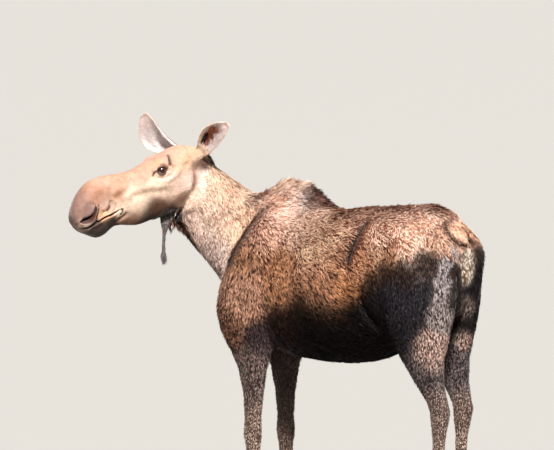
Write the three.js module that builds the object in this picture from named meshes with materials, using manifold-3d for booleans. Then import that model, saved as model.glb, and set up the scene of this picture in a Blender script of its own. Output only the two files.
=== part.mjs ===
// A cow moose in her summer coat, standing square with her head raised and turned to her left.
// Millimetres, +Z up. She faces -Y and her left side is +X. The floor is Z = 0, and the origin is
// on the floor below the middle of her bounding box.
// Every solid is drawn to the tips of the coat. A body is a loft through named cross-sections.
// The lofts of the flesh are joined into one animal and parted at thin cuts into the pieces that
// a person would name.
import * as THREE from "three";
import { mergeVertices } from "three/addons/utils/BufferGeometryUtils.js";
import Module from "manifold-3d";

const wasm = await Module();
wasm.setup();

// ---- driving dimensions ------------------------------------------------------------------
const SHOULDER_HEIGHT = 1800; // floor to the tips of the mane on the hump
const DRAWN_HEIGHT = 1800; // the shoulder height for which the sections below are written
const CUT_GAP = 0.4; // width of every parting cut, and clearance of every fitted piece
const FAR = 4000; // longer than the animal, for the half-spaces that part it
const HEAD_AT = [119, -432, 1887]; // back of the head, the origin of the head's own frame
const HEAD_TURN = 66; // degrees that the head points to her left of straight ahead
const HEAD_DROOP = 21.4; // degrees that the head's own axis points below level
const EYE = { along: 249, up: 45, aside: 90, radius: 22 };
const FORE_TRACK = 150; // middle of each fore hoof from the middle of the body
const HIND_TRACK = 135; // the same for the hind hooves
const HOOF_TOP = 84; // where the hooves begin
const EAR_WALL = 8; // thickness of the ear leaf, with its short hair

const HAIR = { color: 0x6f4a36, roughness: 0.9, metalness: 0 };
const PALE_HAIR = { color: 0xb98a6b, roughness: 0.9, metalness: 0 };
const HORN = { color: 0x2b2320, roughness: 0.5, metalness: 0 };
const EYEBALL = { color: 0x1c0f0a, roughness: 0.1, metalness: 0 };

// ---- lofting -----------------------------------------------------------------------------
// Rows of numbers as objects. Each row starts with the name of its place, and the headings name
// the numbers that follow.
function sections(headings, rows) {
  const keys = headings.split(" ");
  return rows.map(([place, ...numbers]) => ({
    place,
    ...Object.fromEntries(keys.map((key, i) => [key, numbers[i]])),
  }));
}

// The sections with `steps` rings from each one to the next, on a smooth curve through them all.
function smoothed(stations, steps) {
  const keys = Object.keys(stations[0]).filter((key) => key !== "place");
  const values = stations.flatMap((station) => keys.map((key) => station[key]));
  const order = stations.map((_, i) => i);
  const curve = new THREE.CubicInterpolant(order, values, keys.length);
  return Array.from({ length: (stations.length - 1) * steps + 1 }, (_, i) => {
    const row = [...curve.evaluate(i / steps)];
    return Object.fromEntries(keys.map((key, k) => [key, row[k]]));
  });
}

// A ring round `centre` in the plane of `across` and `up`. Each half has its own power, `crest`
// above and `keel` below: 2 is an ellipse, less is leaner, more is fuller.
function ring(centre, across, up, sides, { half, above, below, crest, keel }) {
  return Array.from({ length: sides }, (_, i) => {
    const angle = (2 * Math.PI * i) / sides;
    const [c, s] = [Math.cos(angle), Math.sin(angle)];
    const power = 2 / (s > 0 ? crest : keel);
    const x = Math.sign(c) * Math.abs(c) ** power * half;
    const y = Math.sign(s) * Math.abs(s) ** power * (s > 0 ? above : below);
    return centre.clone().addScaledVector(across, x).addScaledVector(up, y);
  });
}

// A closed solid over the rings. A fan closes each end, moved outwards by `grow`.
function loft(rings, grow = 0, frame = new THREE.Matrix4()) {
  const sides = rings[0].length;
  const end = rings.length - 1;
  const middle = (points) =>
    points.reduce((sum, p) => sum.add(p), new THREE.Vector3()).divideScalar(sides);
  for (const [outer, inner] of [[0, 1], [end, end - 1]]) {
    const out = middle(rings[outer]).sub(middle(rings[inner])).setLength(grow);
    for (const point of rings[outer]) point.add(out);
  }
  const points = [...rings.flat(), middle(rings[0]), middle(rings[end])];
  const faces = [];
  for (let i = 0; i < sides; i++) {
    const next = (i + 1) % sides;
    faces.push(points.length - 2, next, i);
    faces.push(points.length - 1, end * sides + i, end * sides + next);
    for (let r = 0; r < end; r++) {
      const [a, b] = [r * sides + i, r * sides + next];
      faces.push(a, b, a + sides, b, b + sides, a + sides);
    }
  }
  const geometry = new THREE.BufferGeometry().setFromPoints(points);
  geometry.setIndex(faces);
  return solid(geometry.applyMatrix4(frame));
}

// A closed geometry as a solid that can be joined and cut, turned the right way out.
function solid(geometry) {
  const bare = geometry.clone();
  bare.deleteAttribute("normal");
  bare.deleteAttribute("uv");
  const merged = mergeVertices(bare, 1e-3);
  const vertProperties = new Float32Array(merged.attributes.position.array);
  const triVerts = new Uint32Array(merged.index.array);
  const shape = new wasm.Manifold(new wasm.Mesh({ numProp: 3, vertProperties, triVerts }));
  if (shape.volume() > 0) return shape;
  triVerts.reverse();
  return new wasm.Manifold(new wasm.Mesh({ numProp: 3, vertProperties, triVerts }));
}

const joined = (solids) => solids.reduce((sum, one) => sum.add(one));
const X = new THREE.Vector3(1, 0, 0);
const Y = new THREE.Vector3(0, 1, 0);
const Z = new THREE.Vector3(0, 0, 1);

// The half of space that lies to the side of `normal` from `point`, less a margin.
function beyond(point, normal, margin) {
  const n = new THREE.Vector3(...normal).normalize();
  const at = new THREE.Vector3(...point).addScaledVector(n, margin);
  const box = new THREE.BoxGeometry(FAR, FAR, FAR).translate(0, 0, FAR / 2);
  box.applyQuaternion(new THREE.Quaternion().setFromUnitVectors(Z, n));
  return solid(box.translate(at.x, at.y, at.z));
}

// ---- trunk -------------------------------------------------------------------------------
// Upright sections from the brisket back to the buttocks: how far back, the top line, the height
// of the widest place, the belly line, half the width there, and the powers of the two halves.
const TRUNK = sections("y top level bottom half crest keel", [
  ["brisket", -322, 1235, 1190, 1145, 42, 2, 2],
  ["chest front", -288, 1360, 1195, 1072, 108, 2, 2],
  ["neck root", -215, 1560, 1225, 1022, 158, 1.9, 2],
  ["shoulder point", -125, 1738, 1275, 990, 196, 1.6, 2],
  ["foreleg", -40, 1786, 1290, 968, 220, 1.45, 2],
  ["hump", 50, 1800, 1290, 955, 238, 1.35, 2],
  ["hump back", 150, 1782, 1280, 942, 256, 1.4, 2],
  ["girth", 245, 1718, 1270, 934, 268, 1.6, 2.1],
  ["back", 345, 1669, 1270, 930, 276, 2, 2.2],
  ["ribs", 490, 1680, 1270, 934, 278, 2.2, 2.2],
  ["flank", 620, 1687, 1290, 956, 258, 2.2, 2.1],
  ["hip bones", 740, 1693, 1340, 1004, 232, 2.2, 2],
  ["loin end", 840, 1702, 1400, 1066, 214, 2.1, 2],
  ["croup", 925, 1706, 1430, 1120, 206, 2.1, 2],
  ["rump", 1005, 1682, 1420, 1160, 186, 2.3, 2],
  ["tail root", 1065, 1622, 1410, 1190, 150, 2.3, 2],
  ["buttocks", 1105, 1562, 1405, 1230, 90, 2.1, 2],
  ["seat", 1122, 1512, 1400, 1290, 36, 2, 2],
]);

function trunk(grow = 0) {
  const rings = smoothed(TRUNK, 2).map(({ y, top, level, bottom, half, crest, keel }) => {
    const [above, below] = [top - level + grow, level - bottom + grow];
    const centre = new THREE.Vector3(0, y, level);
    return ring(centre, X, Z, 24, { half: half + grow, above, below, crest, keel });
  });
  return loft(rings, grow);
}

// ---- neck --------------------------------------------------------------------------------
// Sections from inside the chest to inside the head, each by its nape and its throat point, half
// the thickness, and the degrees that it has turned to her left.
const NECK = sections("napeX napeY napeZ throatX throatY throatZ half turn", [
  ["in the chest", 0, -60, 1752, 5, -215, 1130, 150, 0],
  ["root", 2, -118, 1748, 14, -292, 1205, 158, 4],
  ["shoulder line", 12, -206, 1736, 60, -362, 1314, 150, 15],
  ["lower neck", 35, -271, 1783, 85, -424, 1385, 132, 26],
  ["mid neck", 62, -328, 1824, 112, -483, 1458, 114, 38],
  ["throat", 92, -375, 1868, 155, -516, 1537, 104, 50],
  ["in the head", 125, -420, 1905, 208, -530, 1594, 92, 62],
]);
const NECK_CUT = { point: [15, -215, 1500], normal: [0.12, -0.95, 0.22] };

function neck(grow = 0) {
  const rings = smoothed(NECK, 2).map((at) => {
    const nape = new THREE.Vector3(at.napeX, at.napeY, at.napeZ);
    const throat = new THREE.Vector3(at.throatX, at.throatY, at.throatZ);
    const centre = nape.clone().lerp(throat, 0.52);
    const above = nape.distanceTo(centre) + grow;
    const below = throat.distanceTo(centre) + grow;
    const across = X.clone().applyAxisAngle(Z, THREE.MathUtils.degToRad(at.turn));
    const up = nape.sub(throat).normalize();
    return ring(centre, across, up, 20, { half: at.half + grow, above, below, crest: 1.75, keel: 2 });
  });
  return loft(rings, grow);
}

// ---- head --------------------------------------------------------------------------------
// The head's own frame: X along from the poll to the nose, Y to her left, Z up from that axis.
const headFrame = new THREE.Matrix4()
  .makeTranslation(...HEAD_AT)
  .multiply(new THREE.Matrix4().makeRotationZ(THREE.MathUtils.degToRad(HEAD_TURN - 90)))
  .multiply(new THREE.Matrix4().makeRotationY(THREE.MathUtils.degToRad(HEAD_DROOP)));

const HEAD = sections("along top level bottom half crest keel", [
  ["nape", -38, 30, -20, -70, 42, 2, 2],
  ["poll", -5, 70, -5, -112, 76, 2, 2],
  ["crown", 45, 101, 5, -142, 90, 2.2, 2],
  ["temple", 110, 114, 8, -160, 98, 2.4, 1.9],
  ["cheek", 175, 111, 10, -172, 103, 2.6, 1.8],
  ["eyes", 240, 103, 16, -178, 104, 2.7, 1.7],
  ["tear line", 300, 98, 8, -176, 84, 2.4, 1.8],
  ["face", 365, 94, -10, -174, 66, 2.1, 1.9],
  ["nasal arch", 430, 103, -20, -170, 60, 2, 2],
  ["muzzle back", 490, 119, -8, -146, 62, 2, 2],
  ["bars of the mouth", 545, 128, 2, -128, 67, 2.1, 1.9],
  ["nose", 600, 124, -6, -146, 74, 2.3, 1.8],
  ["nostrils", 650, 99, -22, -146, 74, 2.4, 1.8],
  ["lips", 690, 68, -30, -114, 69, 2.3, 1.9],
  ["nose pad", 719, 34, -32, -88, 57, 2.2, 2.1],
  ["nose tip", 735, 2, -32, -66, 36, 2.1, 2],
]);

// Soft rises and hollows on both sides of the head: where each is, how far it spreads, how high.
const HEAD_FORMS = sections("along up aside spread rise", [
  ["brow", 232, 84, 82, 58, 16],
  ["top of the brow", 228, 112, 58, 38, 9],
  ["cheekbone", 165, 0, 100, 80, 6],
  ["face crest", 315, -18, 80, 62, 9],
  ["tear hollow", 296, 34, 78, 42, -7],
  ["temple hollow", 150, 74, 80, 46, -7],
  ["jaw muscle", 165, -95, 82, 80, 8],
  ["nose side hollow", 560, 15, 70, 74, -8],
  ["nostril wing", 640, -20, 74, 52, 10],
  ["lip edge", 652, -78, 58, 46, 6],
  ["mouth corner hollow", 500, -72, 60, 44, -7],
]);

function head(grow = 0) {
  const rings = smoothed(HEAD, 2).map(({ along, top, level, bottom, half, crest, keel }) => {
    const centre = new THREE.Vector3(along, 0, level);
    const [above, below] = [top - level + grow, level - bottom + grow];
    const points = ring(centre, Y, Z, 20, { half: half + grow, above, below, crest, keel });
    for (const point of points) {
      const outward = point.clone().sub(centre).normalize();
      for (const form of HEAD_FORMS) {
        const place = new THREE.Vector3(form.along, form.aside * Math.sign(point.y), form.up);
        const near = Math.max(0, 1 - (place.distanceTo(point) / form.spread) ** 2);
        point.addScaledVector(outward, form.rise * near * near);
      }
    }
    return points;
  });
  return loft(rings, grow, headFrame);
}

function eye(side, radius) {
  const ball = new THREE.SphereGeometry(radius, 12, 8);
  return solid(ball.translate(EYE.along, side * EYE.aside, EYE.up).applyMatrix4(headFrame));
}

// ---- ears --------------------------------------------------------------------------------
// A leaf rolled into an open cup. Each ear has its base, its tip, the way that it opens, all in
// the head's frame, how far its middle sways off the straight line and how broad it looks, as the
// cup can open wide, and how much broader it gets towards its tip. The sections give half the
// width of the leaf and the depth of its cup.
const EARS = {
  left: {
    base: [26, 84, 50],
    tip: [-98, 232, 150],
    opening: [0.55, 0.75, 0.2],
    sway: 15,
    breadth: 1,
    flare: -0.45,
  },
  right: {
    base: [72, -84, 60],
    tip: [154, -150, 288],
    opening: [0.74, 0.67, -0.07],
    sway: 48,
    breadth: 1.12,
    flare: 0.25,
  },
};
const FLARE_FROM = 0.4; // the share of the ear's length where its breadth is as drawn
const EAR = sections("share half depth", [
  ["root", 0, 28, 30],
  ["neck of the ear", 0.16, 41, 34],
  ["widest", 0.42, 56, 28],
  ["leaf", 0.66, 54, 19],
  ["below the tip", 0.87, 38, 11],
  ["tip", 1, 13, 5],
]);

function ear({ base, tip, opening, sway, breadth, flare }, grow = 0) {
  const root = new THREE.Vector3(...base);
  const run = new THREE.Vector3(...tip).sub(root);
  const axis = run.clone().normalize();
  const open = new THREE.Vector3(...opening).projectOnPlane(axis).normalize();
  const across = new THREE.Vector3().crossVectors(open, axis);
  const bow = Array.from({ length: 7 }, (_, i) => (i / 6) * Math.PI);
  const rings = smoothed(EAR, 2).map(({ share, half: narrow, depth }) => {
    const half = narrow * breadth * (1 + flare * (share - FLARE_FROM));
    const centre = root.clone().addScaledVector(run, share);
    centre.addScaledVector(across, sway * Math.sin(Math.PI * share));
    const wall = Math.min(EAR_WALL, half * 0.6);
    const at = (angle, reach, sink) =>
      centre
        .clone()
        .addScaledVector(across, -Math.cos(angle) * reach)
        .addScaledVector(open, -Math.sin(angle) * sink);
    const outside = bow.map((angle) => at(angle, half + grow, depth + grow));
    const inside = bow.map((angle) => at(angle, half - wall / 2, depth - wall - grow));
    return [...outside, ...inside.reverse()];
  });
  return loft(rings, grow, headFrame);
}

// ---- bell and tail -----------------------------------------------------------------------
// The bell is the fold of skin and long hair that hangs from the throat. Level sections.
const BELL = sections("z x y long wide", [
  ["root", 1672, 266, -519, 52, 22],
  ["fold", 1612, 269, -521, 40, 17],
  ["narrows", 1574, 275, -526, 24, 13],
  ["stem top", 1540, 279, -528, 11, 8],
  ["stem", 1490, 284, -531, 8, 7],
  ["knot", 1455, 284, -531, 9, 8],
  ["tassel", 1425, 283, -530, 14, 10],
  ["tip", 1402, 282, -530, 5, 4],
]);

function bell() {
  const aside = X.clone().applyAxisAngle(Z, THREE.MathUtils.degToRad(HEAD_TURN));
  const forward = Y.clone().applyAxisAngle(Z, THREE.MathUtils.degToRad(HEAD_TURN));
  const rings = smoothed(BELL, 1).map(({ z, x, y, long, wide }) =>
    ring(new THREE.Vector3(x, y, z), forward, aside, 8, {
      half: long,
      above: wide,
      below: wide,
      crest: 2,
      keel: 2,
    }),
  );
  return loft(rings);
}

// The short tail lies down over the seat. Its sections stand square to its own slope.
const TAIL = sections("y z half thick", [
  ["root", 1020, 1634, 34, 24],
  ["dock", 1068, 1602, 38, 25],
  ["middle", 1102, 1564, 34, 22],
  ["brush", 1124, 1530, 26, 16],
  ["tip", 1134, 1500, 9, 7],
]);

function tail() {
  const up = new THREE.Vector3(0, 0.68, 0.73).normalize();
  const rings = smoothed(TAIL, 1).map(({ y, z, half, thick }) =>
    ring(new THREE.Vector3(0, y, z), X, up, 12, {
      half,
      above: thick,
      below: thick,
      crest: 2,
      keel: 2,
    }),
  );
  return loft(rings);
}

// ---- legs --------------------------------------------------------------------------------
// Level sections of a leg: height, front edge, back edge, outer and inner side, then the powers
// of its front and back half.
const FORELEG = sections("z front back outer inner fore aft", [
  ["blade top", 1688, -48, 92, 108, 8, 2, 2],
  ["blade", 1635, -96, 132, 150, 8, 2, 2],
  ["blade spine", 1565, -146, 172, 188, 14, 2, 2],
  ["shoulder", 1450, -248, 190, 218, 40, 2, 2.2],
  ["upper arm", 1310, -276, 182, 234, 40, 2.2, 2.3],
  ["shoulder point", 1170, -303, 160, 233, 50, 2.2, 2.4],
  ["arm", 1065, -277, 62, 217, 66, 2.2, 2.2],
  ["elbow", 985, -224, 50, 200, 84, 2.1, 2.1],
  ["forearm", 900, -176, 20, 186, 104, 2, 2],
  ["lower forearm", 780, -138, -6, 178, 112, 2, 2],
  ["above the knee", 660, -122, -20, 182, 116, 2, 2],
  ["knee", 580, -124, -18, 190, 112, 2.4, 2.2],
  ["below the knee", 515, -110, -26, 183, 118, 2.2, 2],
  ["cannon", 390, -102, -34, 178, 123, 2, 2],
  ["lower cannon", 275, -102, -32, 179, 121, 2, 2],
  ["fetlock", 205, -112, -22, 190, 110, 2, 2],
  ["pastern", 145, -124, -44, 189, 111, 2, 2],
  ["coronet", HOOF_TOP, -148, -38, 202, 98, 2, 2],
]);
const HINDLEG = sections("z front back outer inner fore aft", [
  ["hip bone", 1648, 765, 985, 130, 20, 2, 2],
  ["loin", 1612, 722, 1045, 172, 10, 2, 2],
  ["hip", 1560, 672, 1108, 204, 4, 2, 2],
  ["haunch", 1470, 632, 1165, 222, 0, 2.1, 2],
  ["thigh", 1350, 660, 1172, 228, 4, 2.2, 2.1],
  ["stifle fold", 1220, 728, 1168, 226, 16, 2.2, 2.2],
  ["stifle", 1100, 792, 1142, 216, 44, 2.2, 2.2],
  ["gaskin", 985, 856, 1118, 200, 78, 2.1, 2.1],
  ["lower gaskin", 880, 934, 1118, 182, 94, 2, 2],
  ["above the hock", 795, 1006, 1138, 172, 98, 2, 1.8],
  ["hock point", 748, 1032, 1152, 172, 96, 2.1, 2],
  ["hock", 690, 1040, 1138, 170, 96, 2.2, 2.2],
  ["below the hock", 620, 1050, 1122, 162, 104, 2.1, 2],
  ["shank", 450, 1048, 1110, 160, 108, 2, 2],
  ["lower shank", 290, 1036, 1102, 161, 107, 2, 2],
  ["fetlock", 212, 1020, 1108, 173, 95, 2, 2],
  ["pastern", 148, 1000, 1078, 172, 96, 2, 2],
  ["coronet", HOOF_TOP, 968, 1074, 184, 84, 2, 2],
]);

// side: 1 is her left. step: how far back the foot is set. hinge: the height where the leg starts
// to follow its foot. Below the cut, the leg is a piece of its own. joint: its knee or hock.
const FORE_CUT = { cutZ: 1105, cutLean: 0.35, joint: 580 };
const HIND_CUT = { cutZ: 1180, cutLean: 0.35, joint: 715 };
const LEGS = {
  foreleg_left: { side: 1, kind: FORELEG, track: FORE_TRACK, step: 0, hinge: 1500, ...FORE_CUT },
  foreleg_right: { side: -1, kind: FORELEG, track: FORE_TRACK, step: -60, hinge: 1500, ...FORE_CUT },
  hindleg_left: { side: 1, kind: HINDLEG, track: HIND_TRACK, step: 0, hinge: 1600, ...HIND_CUT },
  hindleg_right: { side: -1, kind: HINDLEG, track: HIND_TRACK, step: -88, hinge: 1600, ...HIND_CUT },
};
const stepAt = ({ step, hinge }, z) => step * Math.max(0, 1 - (z / hinge) ** 4);

function leg(spec, grow = 0) {
  const across = new THREE.Vector3(spec.side, 0, 0);
  const rings = smoothed(spec.kind, 1).map(({ z, front, back, outer, inner, fore, aft }) => {
    const y = (front + back) / 2 + stepAt(spec, z);
    const centre = new THREE.Vector3(((outer + inner) / 2) * spec.side, y, z);
    const reach = (back - front) / 2 + grow;
    return ring(centre, across, Y, 16, {
      half: (outer - inner) / 2 + grow,
      above: reach,
      below: reach,
      crest: aft,
      keel: fore,
    });
  });
  return loft(rings, grow);
}

// ---- hooves ------------------------------------------------------------------------------
// Each foot stands on two cloven toes, and carries two small dewclaws behind the pastern.
const TOE = sections("z tip heel half", [
  ["sole", 0, 104, 62, 30],
  ["wall foot", 9, 103, 63, 31],
  ["coronet", HOOF_TOP - CUT_GAP, 42, 54, 26],
]);
const TOE_GAP = 7; // between the two toes
const TOE_SPLAY = 4; // degrees that each toe points outwards
const DEWCLAW = { z: 128, behind: 6, aside: 19, radius: 17, tall: 27 };

function toe(spec, inOrOut) {
  const { front, back } = spec.kind[spec.kind.length - 1];
  const rings = TOE.map(({ z, tip, heel, half }) =>
    Array.from({ length: 12 }, (_, i) => {
      const angle = (2 * Math.PI * i) / 12;
      const [c, s] = [Math.cos(angle), Math.sin(angle)];
      const lean = Math.sign(s) * Math.abs(s) ** (c > 0 ? 1.25 : 0.9);
      return new THREE.Vector3(lean * half, c > 0 ? -tip * c : -heel * c, z);
    }),
  );
  const place = new THREE.Matrix4()
    .makeTranslation(spec.track * spec.side, (front + back) / 2 + stepAt(spec, 0), 0)
    .multiply(new THREE.Matrix4().makeRotationZ(inOrOut * THREE.MathUtils.degToRad(TOE_SPLAY)))
    .multiply(new THREE.Matrix4().makeTranslation(inOrOut * (TOE[1].half + TOE_GAP / 2), 0, 0));
  return loft(rings, 0, place);
}

function dewclaw(spec, inOrOut) {
  const pastern = spec.kind[spec.kind.length - 2];
  const shape = new THREE.SphereGeometry(DEWCLAW.radius, 6, 5);
  shape.scale(0.8, 1, DEWCLAW.tall / DEWCLAW.radius).rotateX(-0.35);
  const x = spec.track * spec.side + inOrOut * DEWCLAW.aside;
  const y = pastern.back + DEWCLAW.behind + stepAt(spec, DEWCLAW.z);
  return solid(shape.translate(x, y, DEWCLAW.z));
}

// ---- assembly ----------------------------------------------------------------------------
const pieces = new Map(); // name to [solid, finish]

// The flesh as one animal, and each named part taken out of it. What a part leaves behind is cut
// back by the gap.
let body = joined([trunk(), neck(), ...Object.values(LEGS).map((spec) => leg(spec))]);

for (const [name, spec] of Object.entries(LEGS)) {
  const at = [spec.side * 140, 0, spec.cutZ];
  const down = [spec.cutLean * spec.side, 0, -1];
  const limb = leg(spec).intersect(beyond(at, down, CUT_GAP));
  body = body.subtract(leg(spec, CUT_GAP).intersect(beyond(at, down, 0)));
  const lower = limb.intersect(beyond([0, 0, spec.joint], [0, 0, -1], CUT_GAP / 2));
  pieces.set(`${name}_upper`, [limb.intersect(beyond([0, 0, spec.joint], [0, 0, 1], CUT_GAP / 2)), HAIR]);
  pieces.set(`${name}_lower`, [lower, PALE_HAIR]);
  for (const [which, inOrOut] of [["outer", spec.side], ["inner", -spec.side]]) {
    pieces.set(`${name}_toe_${which}`, [toe(spec, inOrOut), HORN]);
    const claw = dewclaw(spec, inOrOut).subtract(leg(spec, CUT_GAP));
    pieces.set(`${name}_dewclaw_${which}`, [claw, HORN]);
  }
}

const { point, normal } = NECK_CUT;
const skull = head(CUT_GAP);
const neckPiece = neck().intersect(beyond(point, normal, CUT_GAP)).subtract(skull);
body = body.subtract(neck(CUT_GAP).intersect(beyond(point, normal, 0))).subtract(skull);
pieces.set("neck", [neckPiece, PALE_HAIR]);
pieces.set("trunk", [body, HAIR]);

const hindParts = [LEGS.hindleg_left, LEGS.hindleg_right].map((spec) => leg(spec, CUT_GAP));
pieces.set("tail", [tail().subtract(joined([trunk(CUT_GAP), ...hindParts])), HAIR]);
pieces.set("bell", [bell().subtract(skull).subtract(neck(CUT_GAP)), HAIR]);

// The head, hollowed for the eyes and for the roots of the ears.
let headPiece = head();
for (const [name, side] of [["left", 1], ["right", -1]]) {
  headPiece = headPiece.subtract(eye(side, EYE.radius + CUT_GAP));
  pieces.set(`eye_${name}`, [eye(side, EYE.radius), EYEBALL]);
  const earPiece = ear(EARS[name]).subtract(skull).subtract(neck(CUT_GAP));
  pieces.set(`ear_${name}`, [earPiece, PALE_HAIR]);
}
pieces.set("head", [headPiece, PALE_HAIR]);

const moose = new THREE.Group();
moose.name = "moose";
for (const [name, [shape, finish]] of pieces) {
  const whole = shape.decompose().sort((a, b) => b.volume() - a.volume())[0];
  const { vertProperties, triVerts } = whole.getMesh();
  const geometry = new THREE.BufferGeometry();
  geometry.setAttribute("position", new THREE.BufferAttribute(vertProperties, 3));
  geometry.setIndex(new THREE.BufferAttribute(triVerts, 1));
  const mesh = new THREE.Mesh(geometry, new THREE.MeshStandardMaterial(finish));
  mesh.name = name;
  moose.add(mesh);
}

// Scale to the shoulder height, and stand her over the origin.
moose.scale.setScalar(SHOULDER_HEIGHT / DRAWN_HEIGHT);
moose.updateMatrixWorld(true);
const box = new THREE.Box3().setFromObject(moose);
moose.position.set(-(box.min.x + box.max.x) / 2, -(box.min.y + box.max.y) / 2, -box.min.z);

export default moose;
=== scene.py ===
"""A life-size cow moose in her summer coat, standing with her head raised and turned to her left."""
import math

import bmesh
import bpy
import numpy as np
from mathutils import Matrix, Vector
from mathutils.bvhtree import BVHTree


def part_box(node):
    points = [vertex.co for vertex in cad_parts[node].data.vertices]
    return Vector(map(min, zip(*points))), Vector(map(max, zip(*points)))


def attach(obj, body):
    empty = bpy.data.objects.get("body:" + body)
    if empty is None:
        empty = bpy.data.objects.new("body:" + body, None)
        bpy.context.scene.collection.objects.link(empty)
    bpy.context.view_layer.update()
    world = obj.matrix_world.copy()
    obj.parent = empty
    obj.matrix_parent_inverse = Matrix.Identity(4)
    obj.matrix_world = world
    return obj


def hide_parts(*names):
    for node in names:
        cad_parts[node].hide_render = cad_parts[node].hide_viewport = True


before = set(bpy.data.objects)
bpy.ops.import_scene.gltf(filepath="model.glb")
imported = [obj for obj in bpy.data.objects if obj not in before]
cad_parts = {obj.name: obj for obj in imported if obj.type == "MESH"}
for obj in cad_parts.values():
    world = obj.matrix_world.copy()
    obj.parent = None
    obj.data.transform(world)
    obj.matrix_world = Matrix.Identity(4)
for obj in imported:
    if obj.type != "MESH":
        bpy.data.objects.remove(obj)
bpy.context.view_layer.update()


# ---- the studio ------------------------------------------------------------------------------
# A pale floor that runs far out behind her, one strong lamp high behind her left haunch with two
# soft ones, and the camera, which stands a long way off beside that haunch and looks along her.
CAMERA_TURN = math.radians(132)  # round from straight in front of her
CAMERA_RISE = math.radians(2.6)
CAMERA_AWAY = 30.0
VIEW_WIDTH = 2.629  # of the view, where she stands
LOOK_AT = Vector((0.0040, -0.0423, 1.590))
SENSOR = 36.0


def new_object(name, data):
    """A new object in the scene, with a mesh, a lamp or a camera in it."""
    made = bpy.data.objects.new(name, data)
    bpy.context.scene.collection.objects.link(made)
    return made


toward_camera = Vector(
    (
        math.sin(CAMERA_TURN) * math.cos(CAMERA_RISE),
        -math.cos(CAMERA_TURN) * math.cos(CAMERA_RISE),
        math.sin(CAMERA_RISE),
    )
)
camera_data = bpy.data.cameras.new("camera")
camera_data.sensor_width = SENSOR
camera_data.lens = SENSOR * CAMERA_AWAY / VIEW_WIDTH
camera_data.clip_end = 2000.0
camera = new_object("camera", camera_data)
camera.location = LOOK_AT + toward_camera * CAMERA_AWAY
camera.rotation_euler = toward_camera.to_track_quat("Z", "Y").to_euler()
bpy.context.scene.camera = camera


def linear(colour):
    """A colour written as six hexadecimal digits, as linear numbers."""
    parts = [int(colour[i : i + 2], 16) / 255 for i in (0, 2, 4)]
    return [p / 12.92 if p <= 0.04045 else ((p + 0.055) / 1.055) ** 2.4 for p in parts]


def new_paint(name, roughness):
    """A new material and its main shader."""
    material = bpy.data.materials.new(name)
    material.use_nodes = True
    shader = material.node_tree.nodes["Principled BSDF"]
    shader.inputs["Roughness"].default_value = roughness
    return material, shader


FLOOR_REACH = 900.0  # so far that its edge is never seen
floor_mesh = bpy.data.meshes.new("floor")
corners = [(x * FLOOR_REACH, y * FLOOR_REACH, 0.0) for x, y in ((-1, -1), (1, -1), (1, 1), (-1, 1))]
floor_mesh.from_pydata(corners, [], [(0, 1, 2, 3)])
floor = new_object("floor", floor_mesh)
floor_paint, paint = new_paint("floor_paint", 0.9)
paint.inputs["Base Color"].default_value = (*linear("9a9792"), 1.0)
floor_mesh.materials.append(floor_paint)

LAMPS = {  # where each light comes from, how wide it is in degrees, and how strong
    "key": ((0.55, 0.62, 0.88), 9.0, 7.6),
    "fill": ((1.0, -0.9, 0.45), 80.0, 0.35),
    "rim": ((-0.8, 0.5, 0.9), 60.0, 0.4),
}
for name, (direction, width, strength) in LAMPS.items():
    lamp = bpy.data.lights.new(name, "SUN")
    lamp.angle = math.radians(width)
    lamp.energy = strength
    shine = new_object(name, lamp)
    shine.rotation_euler = Vector(direction).to_track_quat("Z", "Y").to_euler()

world = bpy.data.worlds.new("room")
world.use_nodes = True
background = world.node_tree.nodes["Background"]
background.inputs["Color"].default_value = (*linear("dcdbd8"), 1.0)
background.inputs["Strength"].default_value = 0.28
bpy.context.scene.world = world
bpy.context.scene.view_settings.view_transform = "Standard"
bpy.context.scene.view_settings.look = "Medium High Contrast"


# ---- the hide --------------------------------------------------------------------------------
# One skin over the whole animal, without a seam. It is cast over the solids of the flesh, eased
# until no facet is left, drawn in by the depth of the coat that grows on it, and then the lips,
# nostrils, lids and folds are worked into it.
FLESH = sorted(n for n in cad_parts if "eye" not in n and "toe" not in n and "dew" not in n)
HIDE_GRAIN = 0.004  # the size of the faces that the hide is cast in
OVERLAP = 0.0006  # how far the solids are swollen, so that the cuts between them close


def column(things, field, width=3, kind=float):
    """One field of a list of mesh things, as rows of numbers."""
    values = np.empty(len(things) * width, kind)
    things.foreach_get(field, values)
    return values.reshape(-1, width) if width > 1 else values


def joined_solids(names):
    """The named solids as one mesh, each a little swollen."""
    shape = bmesh.new()
    for name in names:
        solid = bmesh.new()
        solid.from_mesh(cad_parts[name].data)
        bmesh.ops.remove_doubles(solid, verts=solid.verts, dist=1e-5)
        solid.normal_update()
        moves = [v.normal * OVERLAP for v in solid.verts]
        for vertex, move in zip(solid.verts, moves):
            vertex.co += move
        swollen = bpy.data.meshes.new("swollen")
        solid.to_mesh(swollen)
        solid.free()
        shape.from_mesh(swollen)
        bpy.data.meshes.remove(swollen)
    mesh = bpy.data.meshes.new("flesh")
    shape.to_mesh(mesh)
    shape.free()
    return mesh


def with_modifier(mesh, kind, weights=None, **settings):
    """A copy of the mesh with one modifier applied, which may act by a weight for each vertex."""
    holder = new_object("holder", mesh)
    if weights is not None:
        group = holder.vertex_groups.new(name="weight")
        for tenths in range(11):
            chosen = np.flatnonzero(np.round(weights * 10) == tenths)
            group.add(chosen.tolist(), tenths / 10, "REPLACE")
    modifier = holder.modifiers.new("modifier", kind)
    for key, value in settings.items():
        setattr(modifier, key, value)
    done = bpy.data.meshes.new_from_object(holder.evaluated_get(bpy.context.evaluated_depsgraph_get()))
    bpy.data.objects.remove(holder)
    return done


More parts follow.
